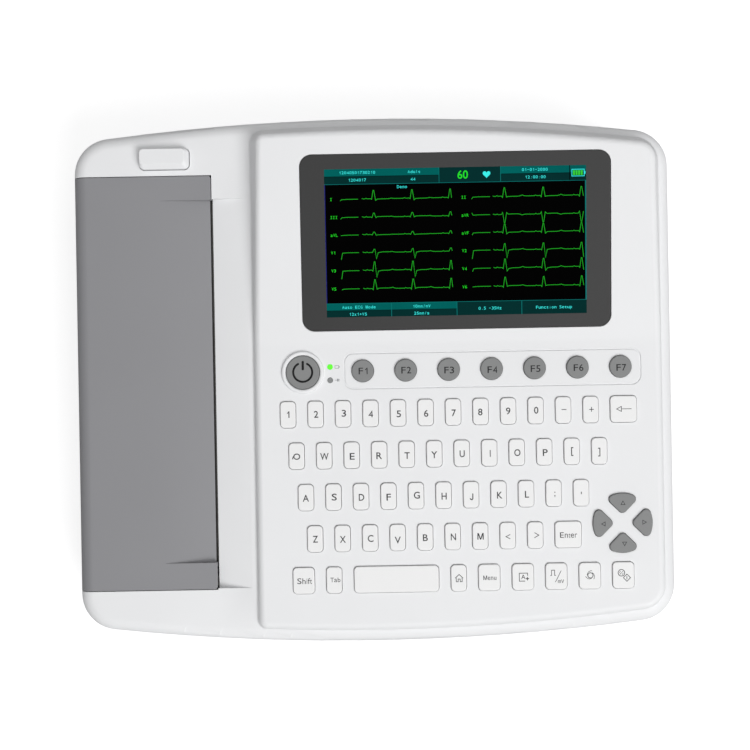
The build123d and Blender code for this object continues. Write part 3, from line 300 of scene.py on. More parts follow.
# the pieces each material goes on; f1 to f7 are grey keycaps, all other pieces white ones
PIECES = {
    "white_moulding": "upper_case",
    "white_moulding_base": "lower_case battery_cover",
    "white_button": "release_button",
    "grey_moulding": "printer_door",
    "window_print": "screen_window",
    "display_frame": "lcd_module",
    "indicator_lens": "status_lights",
    "grey_rubber": "keypad_mat",
    "black_rubber": "rubber_feet",
    "platen_rubber": "platen_roller",
    "solder_mask": "keypad_board main_board power_supply",
    "shrink_sleeve": "battery_pack",
    "black_socket": "mains_inlet lead_socket",
    "plated_shell": "data_ports",
    "zinc_screw": "screws",
    "spring_wire": "springs button_spring",
    "ground_steel": "pivot_pins platen_shaft",
    "zinc_sheet": "printer_frame door_latch",
    "black_motor": "stepper_motor",
    "acetal": "platen_gear idler_gear motor_pinion",
    "glazed_head": "print_head",
    "extruded_aluminium": "head_carrier",
    "wound_paper": "paper_roll",
    "black_spindle": "paper_spindle",
    "grey_keycap": "power_button up_key left_key down_key right_key",
}
FINISH = {piece: material for material, pieces in PIECES.items() for piece in pieces.split()}
for name, piece in NODES.items():
    is_function_key = name[0] == "f" and name[1].isdigit()
    finish = FINISH.get(name) or ("grey_keycap" if is_function_key else "white_keycap")
    piece.data.materials.clear()
    piece.data.materials.append(MATERIALS[finish])
    for polygon in piece.data.polygons:
        polygon.material_index = 0

# The paper slot's walls are in deep shade, so both sides of it are near black.
surface("slot_wall", (0.010, 0.010, 0.011), roughness=0.7, variation=0.2, grain=1500, bump=0,
        edge=0, edge_gain=0, specular=0.1)
SLOT_X = (-96.9, -94.9)
SLOT_Y = (-108.2, 109.5)
SLOT_TOP = -5.9
WALL_SPREAD = 0.6                                   # how far a wall face may stray in x
WALL_FACING = 0.7                                   # least x part of a wall's normal


def is_slot_wall(to_panel, mesh, polygon):
    corners = [to_panel @ mesh.vertices[i].co for i in polygon.vertices]
    centre = sum(corners, Vector()) / len(corners)
    return (SLOT_X[0] < centre.x < SLOT_X[1]
            and max(abs(corner.x - centre.x) for corner in corners) < WALL_SPREAD
            and centre.z < SLOT_TOP and SLOT_Y[0] < centre.y < SLOT_Y[1]
            and abs((to_panel.to_3x3() @ polygon.normal).normalized().x) > WALL_FACING)


for name in ("upper_case", "printer_door"):
    piece = NODES[name]
    piece.data.materials.append(MATERIALS["slot_wall"])
    to_panel = PANEL.inverted() @ piece.matrix_world
    for polygon in piece.data.polygons:
        if is_slot_wall(to_panel, piece.data, polygon):
            polygon.material_index = 1


# ------------------------------------------------------------------ adding objects
def add_object(name, data):
    added = bpy.data.objects.new(name, data)
    bpy.context.scene.collection.objects.link(added)
    return added


def add_solid(name, points, faces, materials, face_materials=(), smooth_quads=False):
    """An object from closed shapes, with its faces turned outward."""
    mesh = bpy.data.meshes.new(name)
    mesh.from_pydata(points, [], faces)
    for material in materials:
        mesh.materials.append(MATERIALS[material])
    for polygon, index in zip(mesh.polygons, face_materials):
        polygon.material_index = index
    mesh.validate()
    bm = bmesh.new()
    bm.from_mesh(mesh)
    bmesh.ops.recalc_face_normals(bm, faces=bm.faces[:])
    if smooth_quads:
        for face in bm.faces:
            face.smooth = len(face.verts) == 4
    bm.to_mesh(mesh)
    bm.free()
    return add_object(name, mesh)


# ------------------------------------------------------------------ release button's spring
COIL_BASE = (-126.0, 133.6, -23.0)
COIL_LENGTH = 13.25
COIL_RADIUS = 3.6
COIL_TURNS, CLOSED_TURNS = 5, 0.75                  # all turns; turns lying close at each end
COIL_STEPS, COIL_SIDES = 28, 10                     # steps per turn; sides of the wire
WIRE = 0.34                                         # wire radius
CLOSED_RISE = 2.05 * WIRE                           # rise per turn at the closed ends


def coil_height(turn):
    """Height of the wire's centre above the spring's base."""
    if turn < CLOSED_TURNS:
        return WIRE + CLOSED_RISE * turn
    if turn > COIL_TURNS - CLOSED_TURNS:
        return COIL_LENGTH - WIRE - CLOSED_RISE * (COIL_TURNS - turn)
    low = WIRE + CLOSED_RISE * CLOSED_TURNS
    share = (turn - CLOSED_TURNS) / (COIL_TURNS - 2 * CLOSED_TURNS)
    return low + (COIL_LENGTH - 2 * low) * share


def button_coil():
    steps = COIL_TURNS * COIL_STEPS
    points, faces = [], []
    for i in range(steps + 1):
        turn = i / COIL_STEPS
        z = coil_height(turn)
        around = 2 * math.pi * turn
        for k in range(COIL_SIDES):
            side = 2 * math.pi * k / COIL_SIDES
            radius = COIL_RADIUS + WIRE * math.cos(side)
            offset = Vector((radius * math.cos(around), radius * math.sin(around),
                             z + WIRE * math.sin(side)))
            points.append(tuple(PANEL @ (Vector(COIL_BASE) + offset)))
    for i in range(steps):
        here, above = i * COIL_SIDES, (i + 1) * COIL_SIDES
        for k in range(COIL_SIDES):
            beside = (k + 1) % COIL_SIDES
            faces.append([here + k, above + k, above + beside, here + beside])
    last = steps * COIL_SIDES
    faces.append(list(range(COIL_SIDES)))
    faces.append(list(range(last + COIL_SIDES - 1, last - 1, -1)))
    coil = add_solid("button_coil", points, faces, ["spring_wire"], smooth_quads=True)
    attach(coil, "casing")
    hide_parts("button_spring")
    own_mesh(coil)


button_coil()


# ------------------------------------------------------------------ smoothing the CAD pieces
def smooth_group(degrees):
    """Node group that smooths curved faces and keeps edges sharper than the angle."""
    group = bpy.data.node_groups.new("smooth_faces", "GeometryNodeTree")
    for direction in ("INPUT", "OUTPUT"):
        group.interface.new_socket("Geometry", in_out=direction, socket_type="NodeSocketGeometry")
    start = group.nodes.new("NodeGroupInput")
    end = group.nodes.new("NodeGroupOutput")
    angle = group.nodes.new("GeometryNodeInputMeshEdgeAngle")
    shallow = group.nodes.new("FunctionNodeCompare")
    shallow.data_type = "FLOAT"
    shallow.operation = "LESS_EQUAL"
    shallow.inputs[1].default_value = math.radians(degrees)
    edges = group.nodes.new("GeometryNodeSetShadeSmooth")
    edges.domain = "EDGE"
    faces = group.nodes.new("GeometryNodeSetShadeSmooth")
    faces.domain = "FACE"
    faces.inputs["Shade Smooth"].default_value = True
    group.links.new(angle.outputs["Unsigned Angle"], shallow.inputs[0])
    group.links.new(start.outputs[0], edges.inputs["Geometry"])
    group.links.new(shallow.outputs[0], edges.inputs["Shade Smooth"])
    group.links.new(edges.outputs[0], faces.inputs["Geometry"])
    group.links.new(faces.outputs[0], end.inputs[0])
    return group


SMOOTH = smooth_group(degrees=24.0)
for piece in NODES.values():
    weld = piece.modifiers.new("weld", "WELD")
    weld.merge_threshold = 0.000002
    smooth = piece.modifiers.new("smooth", "NODES")
    smooth.node_group = SMOOTH
    normals = piece.modifiers.new("even_normals", "WEIGHTED_NORMAL")
    normals.mode = "FACE_AREA"
    normals.weight = 50
    normals.keep_sharp = True


# ------------------------------------------------------------------ lettering
@functools.cache
def letters(string, bold):
    """Points, faces and (left, right) of text in the built-in font, in font units."""
    curve = bpy.data.curves.new("letters", "FONT")
    curve.body = string
    curve.size = 10.0
    curve.extrude = 0.5
    curve.offset = bold
    curve.resolution_u = 3
    holder = add_object("letters", curve)
    bpy.context.view_layer.update()
    evaluated = holder.evaluated_get(bpy.context.evaluated_depsgraph_get())
    bm = bmesh.new()
    bm.from_mesh(evaluated.to_mesh())
    bmesh.ops.remove_doubles(bm, verts=bm.verts[:], dist=0.0005)
    bm.verts.index_update()
    points = [tuple(v.co) for v in bm.verts]
    faces = [[v.index for v in f.verts] for f in bm.faces]
    bm.free()
    evaluated.to_mesh_clear()
    bpy.data.objects.remove(holder)
    bpy.data.curves.remove(curve)
    across = [point[0] for point in points]
    return points, faces, (min(across), max(across))


def font_height(letter):
    heights = [point[1] for point in letters(letter, 0.0)[0]]
    return max(heights) - min(heights)


FONT_CAP = font_height("H")
# stretch that brings small letters to a grotesque's x-height, 0.724 of the capitals
SMALL_STRETCH = 0.724 * FONT_CAP / font_height("x")
SMALL_LETTERS = "acegmnopqrsuvwxyz"
NARROW = "il1:./'"

# letter: advance, left edge, right edge, for a capital height of GROTESQUE_CAP
GROTESQUE_CAP = 1466
FIGURE = (1139, 80, 1060)                           # any character not in the table
GROTESQUE = {
    "A": (1366, 0, 1369), "B": (1366, 150, 1260), "C": (1479, 102, 1392), "D": (1479, 158, 1383),
    "E": (1366, 162, 1257), "F": (1251, 168, 1162), "G": (1593, 108, 1460),
    "H": (1479, 164, 1312), "I": (569, 191, 385), "J": (1024, 60, 867), "K": (1366, 150, 1363),
    "L": (1139, 150, 1058), "M": (1706, 152, 1550), "N": (1479, 156, 1311), "O": (1593, 99, 1501),
    "P": (1366, 158, 1266), "Q": (1593, 88, 1500), "R": (1479, 161, 1440), "S": (1366, 92, 1259),
    "T": (1251, 48, 1206), "U": (1479, 161, 1306), "V": (1366, 9, 1357), "W": (1933, 25, 1910),
    "X": (1366, 9, 1353), "Y": (1366, 6, 1352), "Z": (1251, 41, 1204), "a": (1139, 74, 1057),
    "b": (1139, 135, 1057), "c": (1024, 80, 1013), "d": (1139, 70, 994), "e": (1139, 75, 1055),
    "f": (569, 18, 641), "h": (1139, 135, 998), "i": (455, 136, 316), "l": (455, 131, 311),
    "m": (1706, 135, 1574), "n": (1139, 135, 998), "o": (1139, 68, 1067), "p": (1139, 135, 1061),
    "r": (682, 133, 710), "s": (1024, 63, 959), "t": (569, 36, 554), "u": (1139, 128, 989),
    "x": (1024, 15, 1006), "z": (1024, 40, 985), "1": (1139, 223, 763), "4": (1139, 26, 1050),
    ":": (569, 185, 390), ".": (569, 186, 391), "/": (569, 0, 571), "+": (1196, 113, 1083),
}


# ------------------------------------------------------------------ thin printed shapes
def turned(points, degrees, x=0.0, y=0.0):
    """Points turned about the origin, then moved by (x, y)."""
    c, s = math.cos(math.radians(degrees)), math.sin(math.radians(degrees))
    return [(x + px * c - py * s, y + px * s + py * c) for px, py in points]


def polar(radius, degrees):
    angle = math.radians(degrees)
    return radius * math.cos(angle), radius * math.sin(angle)


def rounded(line, width, cap_points=6):
    """Outline of a line of the given width with round ends."""
    left, right = [], []
    for i, (x, y) in enumerate(line):
        before, after = line[max(i - 1, 0)], line[min(i + 1, len(line) - 1)]
        dx, dy = after[0] - before[0], after[1] - before[1]
        length = math.hypot(dx, dy)
        nx, ny = -dy / length * width / 2, dx / length * width / 2
        left.append((x + nx, y + ny))
        right.append((x - nx, y - ny))

    def cap(end, inner):
        outward = math.atan2(end[1] - inner[1], end[0] - inner[0])
        angles = [outward + math.pi / 2 - math.pi * (k + 1) / (cap_points + 1)
                  for k in range(cap_points)]
        return [(end[0] + width / 2 * math.cos(a), end[1] + width / 2 * math.sin(a))
                for a in angles]

    return left + cap(line[-1], line[-2]) + right[::-1] + cap(line[0], line[1])


class Print:
    """Collects thin closed shapes about an origin, in mm, then becomes one mesh.

    z is the shapes' (bottom, top) and ink the index of their material; both, and the origin,
    may be changed between shapes.
    """

    def __init__(self, z, origin=(0.0, 0.0)):
        self.z, self.origin, self.ink = z, origin, 0
        self.points, self.faces, self.inks = [], [], []

    def add(self, points, faces):
        start = len(self.points)
        ox, oy = self.origin
        self.points += [(ox + x, oy + y, z) for x, y, z in points]
        self.faces += [[start + i for i in face] for face in faces]
        self.inks += [self.ink] * len(faces)

    def prism(self, outline):
        n = len(outline)
        area = sum(outline[i][0] * outline[(i + 1) % n][1] - outline[(i + 1) % n][0] * outline[i][1]
                   for i in range(n))
        if area < 0:
            outline = outline[::-1]
        faces = [[n - 1 - i for i in range(n)], [n + i for i in range(n)]]
        faces += [[i, (i + 1) % n, n + (i + 1) % n, n + i] for i in range(n)]
        self.add([(x, y, z) for z in self.z for x, y in outline], faces)

    def box(self, x0, x1, y0, y1):
        self.prism([(x0, y0), (x1, y0), (x1, y1), (x0, y1)])

    def strip(self, line, width, closed=False):
        """A line of constant width with mitred corners."""
        n = len(line)
        low, high = self.z
        points = []
        for i, (x, y) in enumerate(line):
            before = line[i - 1] if closed else line[max(i - 1, 0)]
            after = line[(i + 1) % n] if closed else line[min(i + 1, n - 1)]
            arrive = Vector((x - before[0], y - before[1]))
            leave = Vector((after[0] - x, after[1] - y))
            if arrive.length < 1e-9:
                arrive = leave
            if leave.length < 1e-9:
                leave = arrive
            arrive.normalize()
            leave.normalize()
            normal = Vector((-arrive.y, arrive.x))
            mitre = normal + Vector((-leave.y, leave.x))
            if mitre.length < 0.2:                  # the line doubles back
                mitre = normal.copy()
            mitre.normalize()
            # a mitre's reach is held to 2.4 half widths
            reach = min(1.0 / max(mitre.dot(normal), 0.35), 2.4) * width / 2
            left = (x + mitre.x * reach, y + mitre.y * reach)
            right = (x - mitre.x * reach, y - mitre.y * reach)
            points += [(*left, low), (*right, low), (*left, high), (*right, high)]
        faces = []
        for i in range(n if closed else n - 1):
            a, c = 4 * i, 4 * ((i + 1) % n)
            faces += [[a + 3, c + 3, c + 2, a + 2], [a, c, c + 1, a + 1],
                      [a + 2, c + 2, c, a], [a + 1, c + 1, c + 3, a + 3]]
        if not closed:
            c = 4 * (n - 1)
            faces += [[0, 1, 3, 2], [c + 1, c, c + 2, c + 3]]
        self.add(points, faces)

    def ring(self, x, y, radius, width, segments=40):
        self.strip(turned([polar(radius, 360 * i / segments) for i in range(segments)], 0, x, y),
                   width, closed=True)

    def glyph(self, string, x0, x1, x, y, cap, bold, spin=0.0):
        """Lettering stretched between x0 and x1 about (x, y), with capital height cap."""
        def put(points):
            return turned(points, spin, x, y)

        stroke = 0.125 * cap + 2 * bold * cap / FONT_CAP
        half = cap / 2
        width = x1 - x0
        if string == "1":
            self.prism(put([
                (x1, -half), (x1, half), (x1 - 0.75 * stroke, half),
                (x0 + 0.3 * width, half - 0.17 * cap), (x0, half - 0.27 * cap),
                (x0, half - 0.40 * cap), (x0 + 0.4 * width, half - 0.30 * cap),
                (x1 - stroke, half - 0.21 * cap), (x1 - stroke, -half)]))
        elif string == "J":
            radius = (width - stroke) / 2
            foot = -half + stroke / 2
            hook = [(x0 + stroke / 2 + radius + radius * math.cos(-math.pi * i / 8),
                     foot + radius + radius * math.sin(-math.pi * i / 8)) for i in range(9)]
            self.strip(put([(x1 - stroke / 2, half)] + hook
                           + [(x0 + stroke / 2, foot + radius * 1.15)]), stroke)
        elif string == "4":
            stem = x1 - 0.22 * width
            bar = -half + 0.30 * cap
            low, high = bar - stroke / 2, bar + stroke / 2
            left, right = stem - stroke / 2, stem + stroke / 2
            self.strip(put([(stem, half - stroke * 0.7), (x0 + stroke * 0.8, bar), (stem, bar)]),
                       stroke, closed=True)
            self.prism(put([(left, -half), (right, -half), (right, low), (left, low)]))
            self.prism(put([(right, low), (x1, low), (x1, high), (right, high)]))
        elif string == "M":
            middle = (x0 + x1) / 2
            notch = half - 2.3 * stroke
            self.prism(put([
                (x0, -half), (x0 + stroke, -half), (x0 + stroke, notch),
                (middle - 0.5 * stroke, -half), (middle + 0.5 * stroke, -half),
                (x1 - stroke, notch), (x1 - stroke, -half), (x1, -half), (x1, half),
                (x1 - 1.35 * stroke, half), (middle, -half + 1.5 * stroke),
                (x0 + 1.35 * stroke, half), (x0, half)]))
        else:
            points, faces, (left, right) = letters(string, bold)
            scale_x = width / (right - left)
            scale_y = cap / FONT_CAP * (SMALL_STRETCH if string in SMALL_LETTERS else 1.0)
            flat = put([(x0 + (px - left) * scale_x, py * scale_y - half) for px, py, _ in points])
            self.add([(px, py, self.z[point[2] > 0]) for (px, py), point in zip(flat, points)],
                     faces)

    def text(self, string, x, y, cap, wide, bold):
        """Lettering in the built-in font's own proportions, centred on (x, y)."""
        left, right = letters(string, bold)[2]
        half = (right - left) * cap / FONT_CAP * wide / 2
        self.glyph(string, -half, half, x, y, cap, bold)

    def word(self, string, cap, x=0.0, y=0.0, bold=0.10, spin=0.0, track=0.0, wide=1.0):
        """Lettering spaced and proportioned like a plain grotesque, centred on (x, y)."""
        unit = cap / GROTESQUE_CAP * wide
        pen, spans = 0.0, []
        for letter in string:
            advance, left, right = GROTESQUE.get(letter, FIGURE)
            spans.append((letter, (pen + left) * unit, (pen + right) * unit))
            pen += advance + track / unit
        middle = (spans[0][1] + spans[-1][2]) / 2
        for letter, left, right in spans:
            self.glyph(letter, left - middle, right - middle, x, y, cap, bold, spin)

    def mono(self, string, start, y, cap, pitch, bold):
        """Lettering from x = start with every character in a cell of the same width."""
        for i, letter in enumerate(string):
            x = start + (i + 0.5) * pitch
            if letter == " ":
                continue
            if letter == "I":                       # with serifs
                stroke, reach, half = 0.22 * cap / 1.8, 0.33 * pitch, cap / 2
                for side, low, high in ((reach, half - stroke, half),
                                        (stroke * 0.6, stroke - half, half - stroke),
                                        (reach, -half, stroke - half)):
                    self.box(x - side, x + side, y + low, y + high)
            elif letter == "-":
                self.box(x - 0.34 * pitch, x + 0.34 * pitch, y - 0.06 * cap, y + 0.08 * cap)
            else:
                reach = 0.40 * pitch
                if letter in NARROW:
                    _, left, right = GROTESQUE.get(letter, FIGURE)
                    reach = min((right - left) * cap / GROTESQUE_CAP, 0.80 * pitch) / 2
                self.glyph(letter, -reach, reach, x, y, cap, bold)

    def build(self, name, piece, materials=("key_print",), matrix=PANEL, body=None):
        """Make the mesh, moving with the piece's body unless another is given."""
        points = [tuple(matrix @ Vector(point)) for point in self.points]
        printed = add_solid(name, points, self.faces, materials, self.inks)
        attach(printed, body or NODES[piece]["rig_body"])


def printed_on(top):
    """Bottom and top of print on a key whose top is at the given height."""
    return top - 0.06, top + 0.03


# ------------------------------------------------------------------ keyboard legends
KEY_PITCH = 16.33
ROWS = [-20.0 - i * 24.65 for i in range(5)]        # y of each row, rear to front
KEY_Z = printed_on(1.3)
POWER_Z = ARROW_Z = printed_on(1.5)
FUNCTION_Z = printed_on(1.6)

# piece, x of its first key, row, then (character, right, rearward) of its key's centre
KEY_ROWS = (
    ("number_keys", -51.7, 0, (
        ("1", 0.1512, 0.1512), ("2", 0.378, 0), ("3", 0.5292, 0.378), ("4", 0.0756, -0.3024),
        ("5", 0.4536, -0.5292), ("6", 0.3024, -0.5292), ("7", 0.378, -0.5292),
        ("8", -0.2268, -0.3024), ("9", 0, 0), ("0", 0.3024, 0.1512), ("-", 0.4536, 0.3024),
        ("+", 0.4536, 0.0756))),
    ("upper_letter_keys", -47.0, 1, (
        ("Q", 0.0756, -0.2268), ("W", 0.1512, -0.378), ("E", 0.3024, -0.6048), ("R", 0, -0.5292),
        ("T", 0.2268, -0.756), ("Y", 0, -0.5292), ("U", 0.2268, -0.2268), ("I", 0.5292, -0.3024),
        ("O", 0.3024, -0.1512), ("P", 0.5292, -0.378), ("[", 0.1512, -0.0756),
        ("]", -0.0756, -0.6804))),
    ("middle_letter_keys", -41.9, 2, (
        ("A", -0.0756, -0.3024), ("S", 0.4536, 0.0756), ("D", 0.3024, -0.378),
        ("F", 0.0756, -0.5292), ("G", 0.4536, 0.3024), ("H", 0.3024, -0.5292),
        ("J", 0.2268, -1.2096), ("K", 0.6048, -0.5292), ("L", 0.4536, -0.3024),
        (";", 0.6804, -0.5292), ("'", 0.0756, -0.2268))),
    ("lower_letter_keys", -36.9, 3, (
        ("Z", 0.1512, -0.0756), ("X", 0.0756, -0.4536), ("C", 0.2268, -0.2268), ("V", 0, -1.4364),
        ("B", 0.0756, -0.3024), ("N", 0.378, -0.1512), ("M", 0.1512, -0.0756),
        ("<", 0.1512, -0.6048), (">", 0.756, 0))),
)


def key_character(sheet, mark):
    """One character of the keyboard, about the sheet's origin."""
    if mark == "-":
        sheet.box(-1.45, 1.45, -0.2, 0.2)
    elif mark == "+":
        arm, half = 1.4, 0.21
        sheet.prism([(-arm, -half), (-half, -half), (-half, -arm), (half, -arm), (half, -half),
                     (arm, -half), (arm, half), (half, half), (half, arm), (-half, arm),
                     (-half, half), (-arm, half)])
    elif mark in "<>":
        side, rise = (1, 1.3) if mark == "<" else (-1, 1.55)
        sheet.strip([(side * 1.3, rise), (-side * 1.3, 0), (side * 1.3, -rise)], width=0.40)
    elif mark in "[]":
        side = -1 if mark == "[" else 1
        sheet.strip([(-side * 0.75, 2.3), (side * 0.35, 2.3), (side * 0.35, -2.3),
                     (-side * 0.75, -2.3)], width=0.55)
    elif mark == ";":
        sheet.box(-0.30, 0.30, 0.85, 1.45)
        sheet.prism([(-0.30, -1.15), (0.05, -1.15), (-0.28, -1.62), (-0.05, -1.75),
                     (0.30, -1.15), (0.30, -0.55), (-0.30, -0.55)])
    elif mark == "'":
        sheet.prism([(-0.30, 0.85), (-0.18, -0.60), (0.18, -0.60), (0.30, 0.85)])
    else:
        sheet.word(mark, cap=3.9, spin=-90 if mark == "Q" else 0)


for piece, first_x, row, marks in KEY_ROWS:
    sheet = Print(KEY_Z)
    for i, (mark, right, rearward) in enumerate(marks):
        sheet.origin = (first_x + i * KEY_PITCH + right, ROWS[row] + rearward)
        key_character(sheet, mark)
    sheet.build(piece + "_legends", piece)

# backspace: outlined arrow head with a plain shaft
sheet = Print(KEY_Z, (147.4, ROWS[0] + 0.05))
sheet.strip([(-4.1, 0), (-1.3, 1.5), (-1.3, -1.5)], width=0.36, closed=True)
sheet.box(-1.12, 4.7, -0.17, 0.17)
sheet.build("backspace_key_legend", "backspace_key")

# piece, word, x, y, capital height, widening
WORD_KEYS = (
    ("enter_key", "Enter", 113.4, ROWS[3] - 0.2, 3.2, 0.97),
    ("shift_key", "Shift", -43.6, ROWS[4] - 0.15, 3.3, 0.97),
    ("tab_key", "Tab", -25.3, ROWS[4] + 0.25, 2.6, 0.98),
    ("menu_key", "Menu", 66.3, ROWS[4] - 0.1, 2.6, 0.90),
)
for piece, string, x, y, cap, wide in WORD_KEYS:
    sheet = Print(KEY_Z, (x, y))
    sheet.word(string, cap, wide=wide, bold=0.03)
    sheet.build(piece + "_legend", piece)

# home: a house with an open doorway
sheet = Print(KEY_Z, (48.1, ROWS[4] - 0.05))
sheet.strip([(-2.35, 0.05), (0, 2.2), (2.35, 0.05)], width=0.40)
sheet.strip([(-1.75, 0.3), (-1.75, -2.1), (-0.60, -2.1), (-0.60, -0.5), (0.60, -0.5),
             (0.60, -2.1), (1.75, -2.1), (1.75, 0.3)], width=0.38)
sheet.build("home_key_legend", "home_key")

# case: a letter in an open frame with a plus at its corner
sheet = Print(KEY_Z, (86.3, ROWS[4] - 0.15))
sheet.strip([(2.4, 0.9), (2.4, 2.4), (-2.5, 2.4), (-2.5, -2.3), (0.9, -2.3)], width=0.40)
sheet.word("A", cap=2.6, x=-0.15, y=0.25, bold=0.06)
sheet.strip([(1.3, -0.9), (3.3, -0.9)], width=0.50)
sheet.box(2.05, 2.55, -0.65, 0.1)
sheet.box(2.05, 2.55, -1.9, -1.15)
sheet.build("case_key_legend", "case_key")

# calibration: a square pulse, a slash and mV
sheet = Print(KEY_Z, (105.7, ROWS[4]))
sheet.strip([(-3.5, 0.6), (-2.75, 0.6), (-2.75, 3.7), (-0.95, 3.7), (-0.95, 0.6), (-0.15, 0.6)],
            width=0.36)
sheet.strip([(3.0, 3.4), (-0.55, -3.4)], width=0.32)
for k in range(3):                                  # the legs of the m
    sheet.box(0.95 + 0.72 * k, 1.25 + 0.72 * k, -3.95, -2.62)
sheet.box(0.95, 2.69, -2.60, -2.34)
sheet.strip([(3.05, -1.90), (3.75, -3.80), (4.45, -1.90)], width=0.32)
sheet.build("calibration_key_legend", "calibration_key")

# feed: a ring with three trailing arms
sheet = Print(KEY_Z, (126.0, ROWS[4] + 0.25))
sheet.ring(0, 0, radius=1.55, width=0.42)
for start in (100, 220, 340):
    arm = [polar(1.86 + 1.05 * (i / 8) ** 1.3, start + 75 - 105 * (i / 8)) for i in range(9)]
    sheet.strip(arm, width=0.30)
sheet.build("feed_key_legend", "feed_key")

# record: a hatched ring and a diamond with a bar in it
sheet = Print(KEY_Z, (145.7, ROWS[4] + 0.1))
sheet.ring(-1.3, 1.35, radius=1.95, width=0.40)
for hatch in ([(-2.35, 0.30), (-0.30, 2.35)], [(-2.6, 1.3), (-1.75, 2.5)],
              [(-1.0, 0.1), (-0.1, 1.3)]):
    sheet.strip(hatch, width=0.28)
sheet.strip([(1.9, 0.55), (4.0, -1.6), (1.9, -3.75), (-0.2, -1.6)], width=0.40, closed=True)
sheet.box(1.70, 2.10, -2.6, -0.6)
sheet.build("record_key_legend", "record_key")

# ------------------------------------------------------------------ other keys and icons
FUNCTION_PITCH = 25.5
# (right, rearward) of each function key's lettering from its regular place
FUNCTION_OFFSETS = ((0.2, -0.05), (0.3, 0.0), (0.3, -0.4), (0.4, -0.6), (0.5, -0.45),
                    (0.5, -0.3), (0.35, -0.65))
for i, (right, rearward) in enumerate(FUNCTION_OFFSETS):
    sheet = Print(FUNCTION_Z, (-6.9 + FUNCTION_PITCH * i + right, 5.3 + rearward))
    sheet.word(f"F{i + 1}", cap=3.85, bold=0.06, track=0.45 if i == 0 else 0.2)
    sheet.build(f"f{i + 1}_key_legend", f"f{i + 1}_key", ("dark_print",))

# power symbol: an arc open to the rear with an upright in the gap
sheet = Print(POWER_Z, (-42.5, 5.1))
sheet.prism(rounded([polar(5.63, 118 + 304 * k / 60) for k in range(61)], width=1.22))
sheet.prism(rounded([(0.1, 1.85), (0.1, 6.15)], width=1.40))
sheet.build("power_symbol", "power_button", ("black_print",))

ARROW_CENTRE = (145.66, -87.5)
ARROW = ((0, 1.15), (1.2, -1.0), (-1.2, -1.0))
# piece, turn in degrees, x and y from the centre of the four keys
for piece, turn, dx, dy in (("up_key", 0, 0.37, 11.8), ("left_key", 90, -11.4, -0.48),
                            ("down_key", 180, 0.92, -12.46), ("right_key", -90, 12.9, 0.14)):
    sheet = Print(ARROW_Z, (ARROW_CENTRE[0] + dx, ARROW_CENTRE[1] + dy))
    sheet.strip(turned(ARROW, turn), width=0.36, closed=True)
    sheet.build(piece + "_arrow", piece)

# icons beside the lights: a cell behind and a plug in front
sheet = Print((-0.05, 0.03))
sheet.strip([(-23.35, 8.75), (-21.15, 8.75), (-21.15, 7.15), (-23.35, 7.15)], width=0.30,
            closed=True)
sheet.box(-21.0, -20.55, 7.6, 8.3)
sheet.strip([(-23.6, 0.1), (-22.2, 0.1)], width=0.30)
sheet.box(-22.25, -21.35, -0.7, 0.9)
sheet.box(-21.35, -20.5, 0.38, 0.66)
sheet.box(-21.35, -20.5, -0.46, -0.18)
sheet.build("indicator_icons", "upper_case", ("icon_print",))

# ------------------------------------------------------------------ display
# Places on the display are fractions of its size, from the left and down from the top.
SCREEN_WIDTH, SCREEN_HEIGHT = 154.1, 87.15
SCREEN_LEFT, SCREEN_TOP = 49.5 - SCREEN_WIDTH / 2, 103.05
FACE_Z = (-0.05, 0.020)
BAND_Z, LINE_Z, INK_Z = (-0.02, 0.034), (-0.02, 0.046), (-0.02, 0.058)


def across(fraction):
    return SCREEN_LEFT + fraction * SCREEN_WIDTH


def down(fraction):
    return SCREEN_TOP - fraction * SCREEN_HEIGHT


def screen_box(sheet, left, right, top, bottom):
    sheet.box(across(left), across(right), down(bottom), down(top))


def build_display(sheet, name, *materials):
    sheet.build(name, "lcd_module", materials, SCREEN, body="casing")


sheet = Print(FACE_Z)
screen_box(sheet, 0, 1, 0, 1)
build_display(sheet, "display_face", "display_black")

TEAL, DARK, LINE, BLUE = range(4)
# ink, left, right, top, bottom
BANDS = (
    (TEAL, 0, 0.4375, 0, 0.0485), (DARK, 0, 0.4375, 0.0515, 0.100),
    (TEAL, 0.6745, 0.9355, 0, 0.0485), (DARK, 0.6745, 0.9355, 0.0515, 0.100),
    (DARK, 0.4395, 0.6725, 0, 0.100),
    (TEAL, 0.9385, 1, 0, 0.0485), (DARK, 0.9385, 1, 0.0515, 0.100),
    (TEAL, 0, 0.2480, 0.909, 0.9535), (DARK, 0, 0.2480, 0.956, 1),
    (TEAL, 0.2505, 0.4997, 0.909, 0.9535), (DARK, 0.2505, 0.4997, 0.956, 1),
    (DARK, 0.5022, 0.7490, 0.909, 1), (DARK, 0.7515, 1, 0.909, 1),
)
LINES = (
    (LINE, 0.4375, 0.4395, 0, 0.1025), (LINE, 0.6725, 0.6745, 0, 0.1025),
    (LINE, 0.2480, 0.2505, 0.909, 1), (LINE, 0.4997, 0.5022, 0.909, 1),
    (LINE, 0.7490, 0.7515, 0.909, 1),
    (LINE, 0, 1, 0.1005, 0.1035), (LINE, 0, 1, 0.906, 0.909),
    (LINE, 0.9955, 1, 0.1035, 0.906), (BLUE, 0, 0.0028, 0.1035, 0.906),
)
sheet = Print(BAND_Z)
for sheet.z, boxes in ((BAND_Z, BANDS), (LINE_Z, LINES)):
    for sheet.ink, *sides in boxes:
        screen_box(sheet, *sides)
build_display(sheet, "display_bands",
              "display_teal", "display_dark_teal", "display_line", "display_blue")

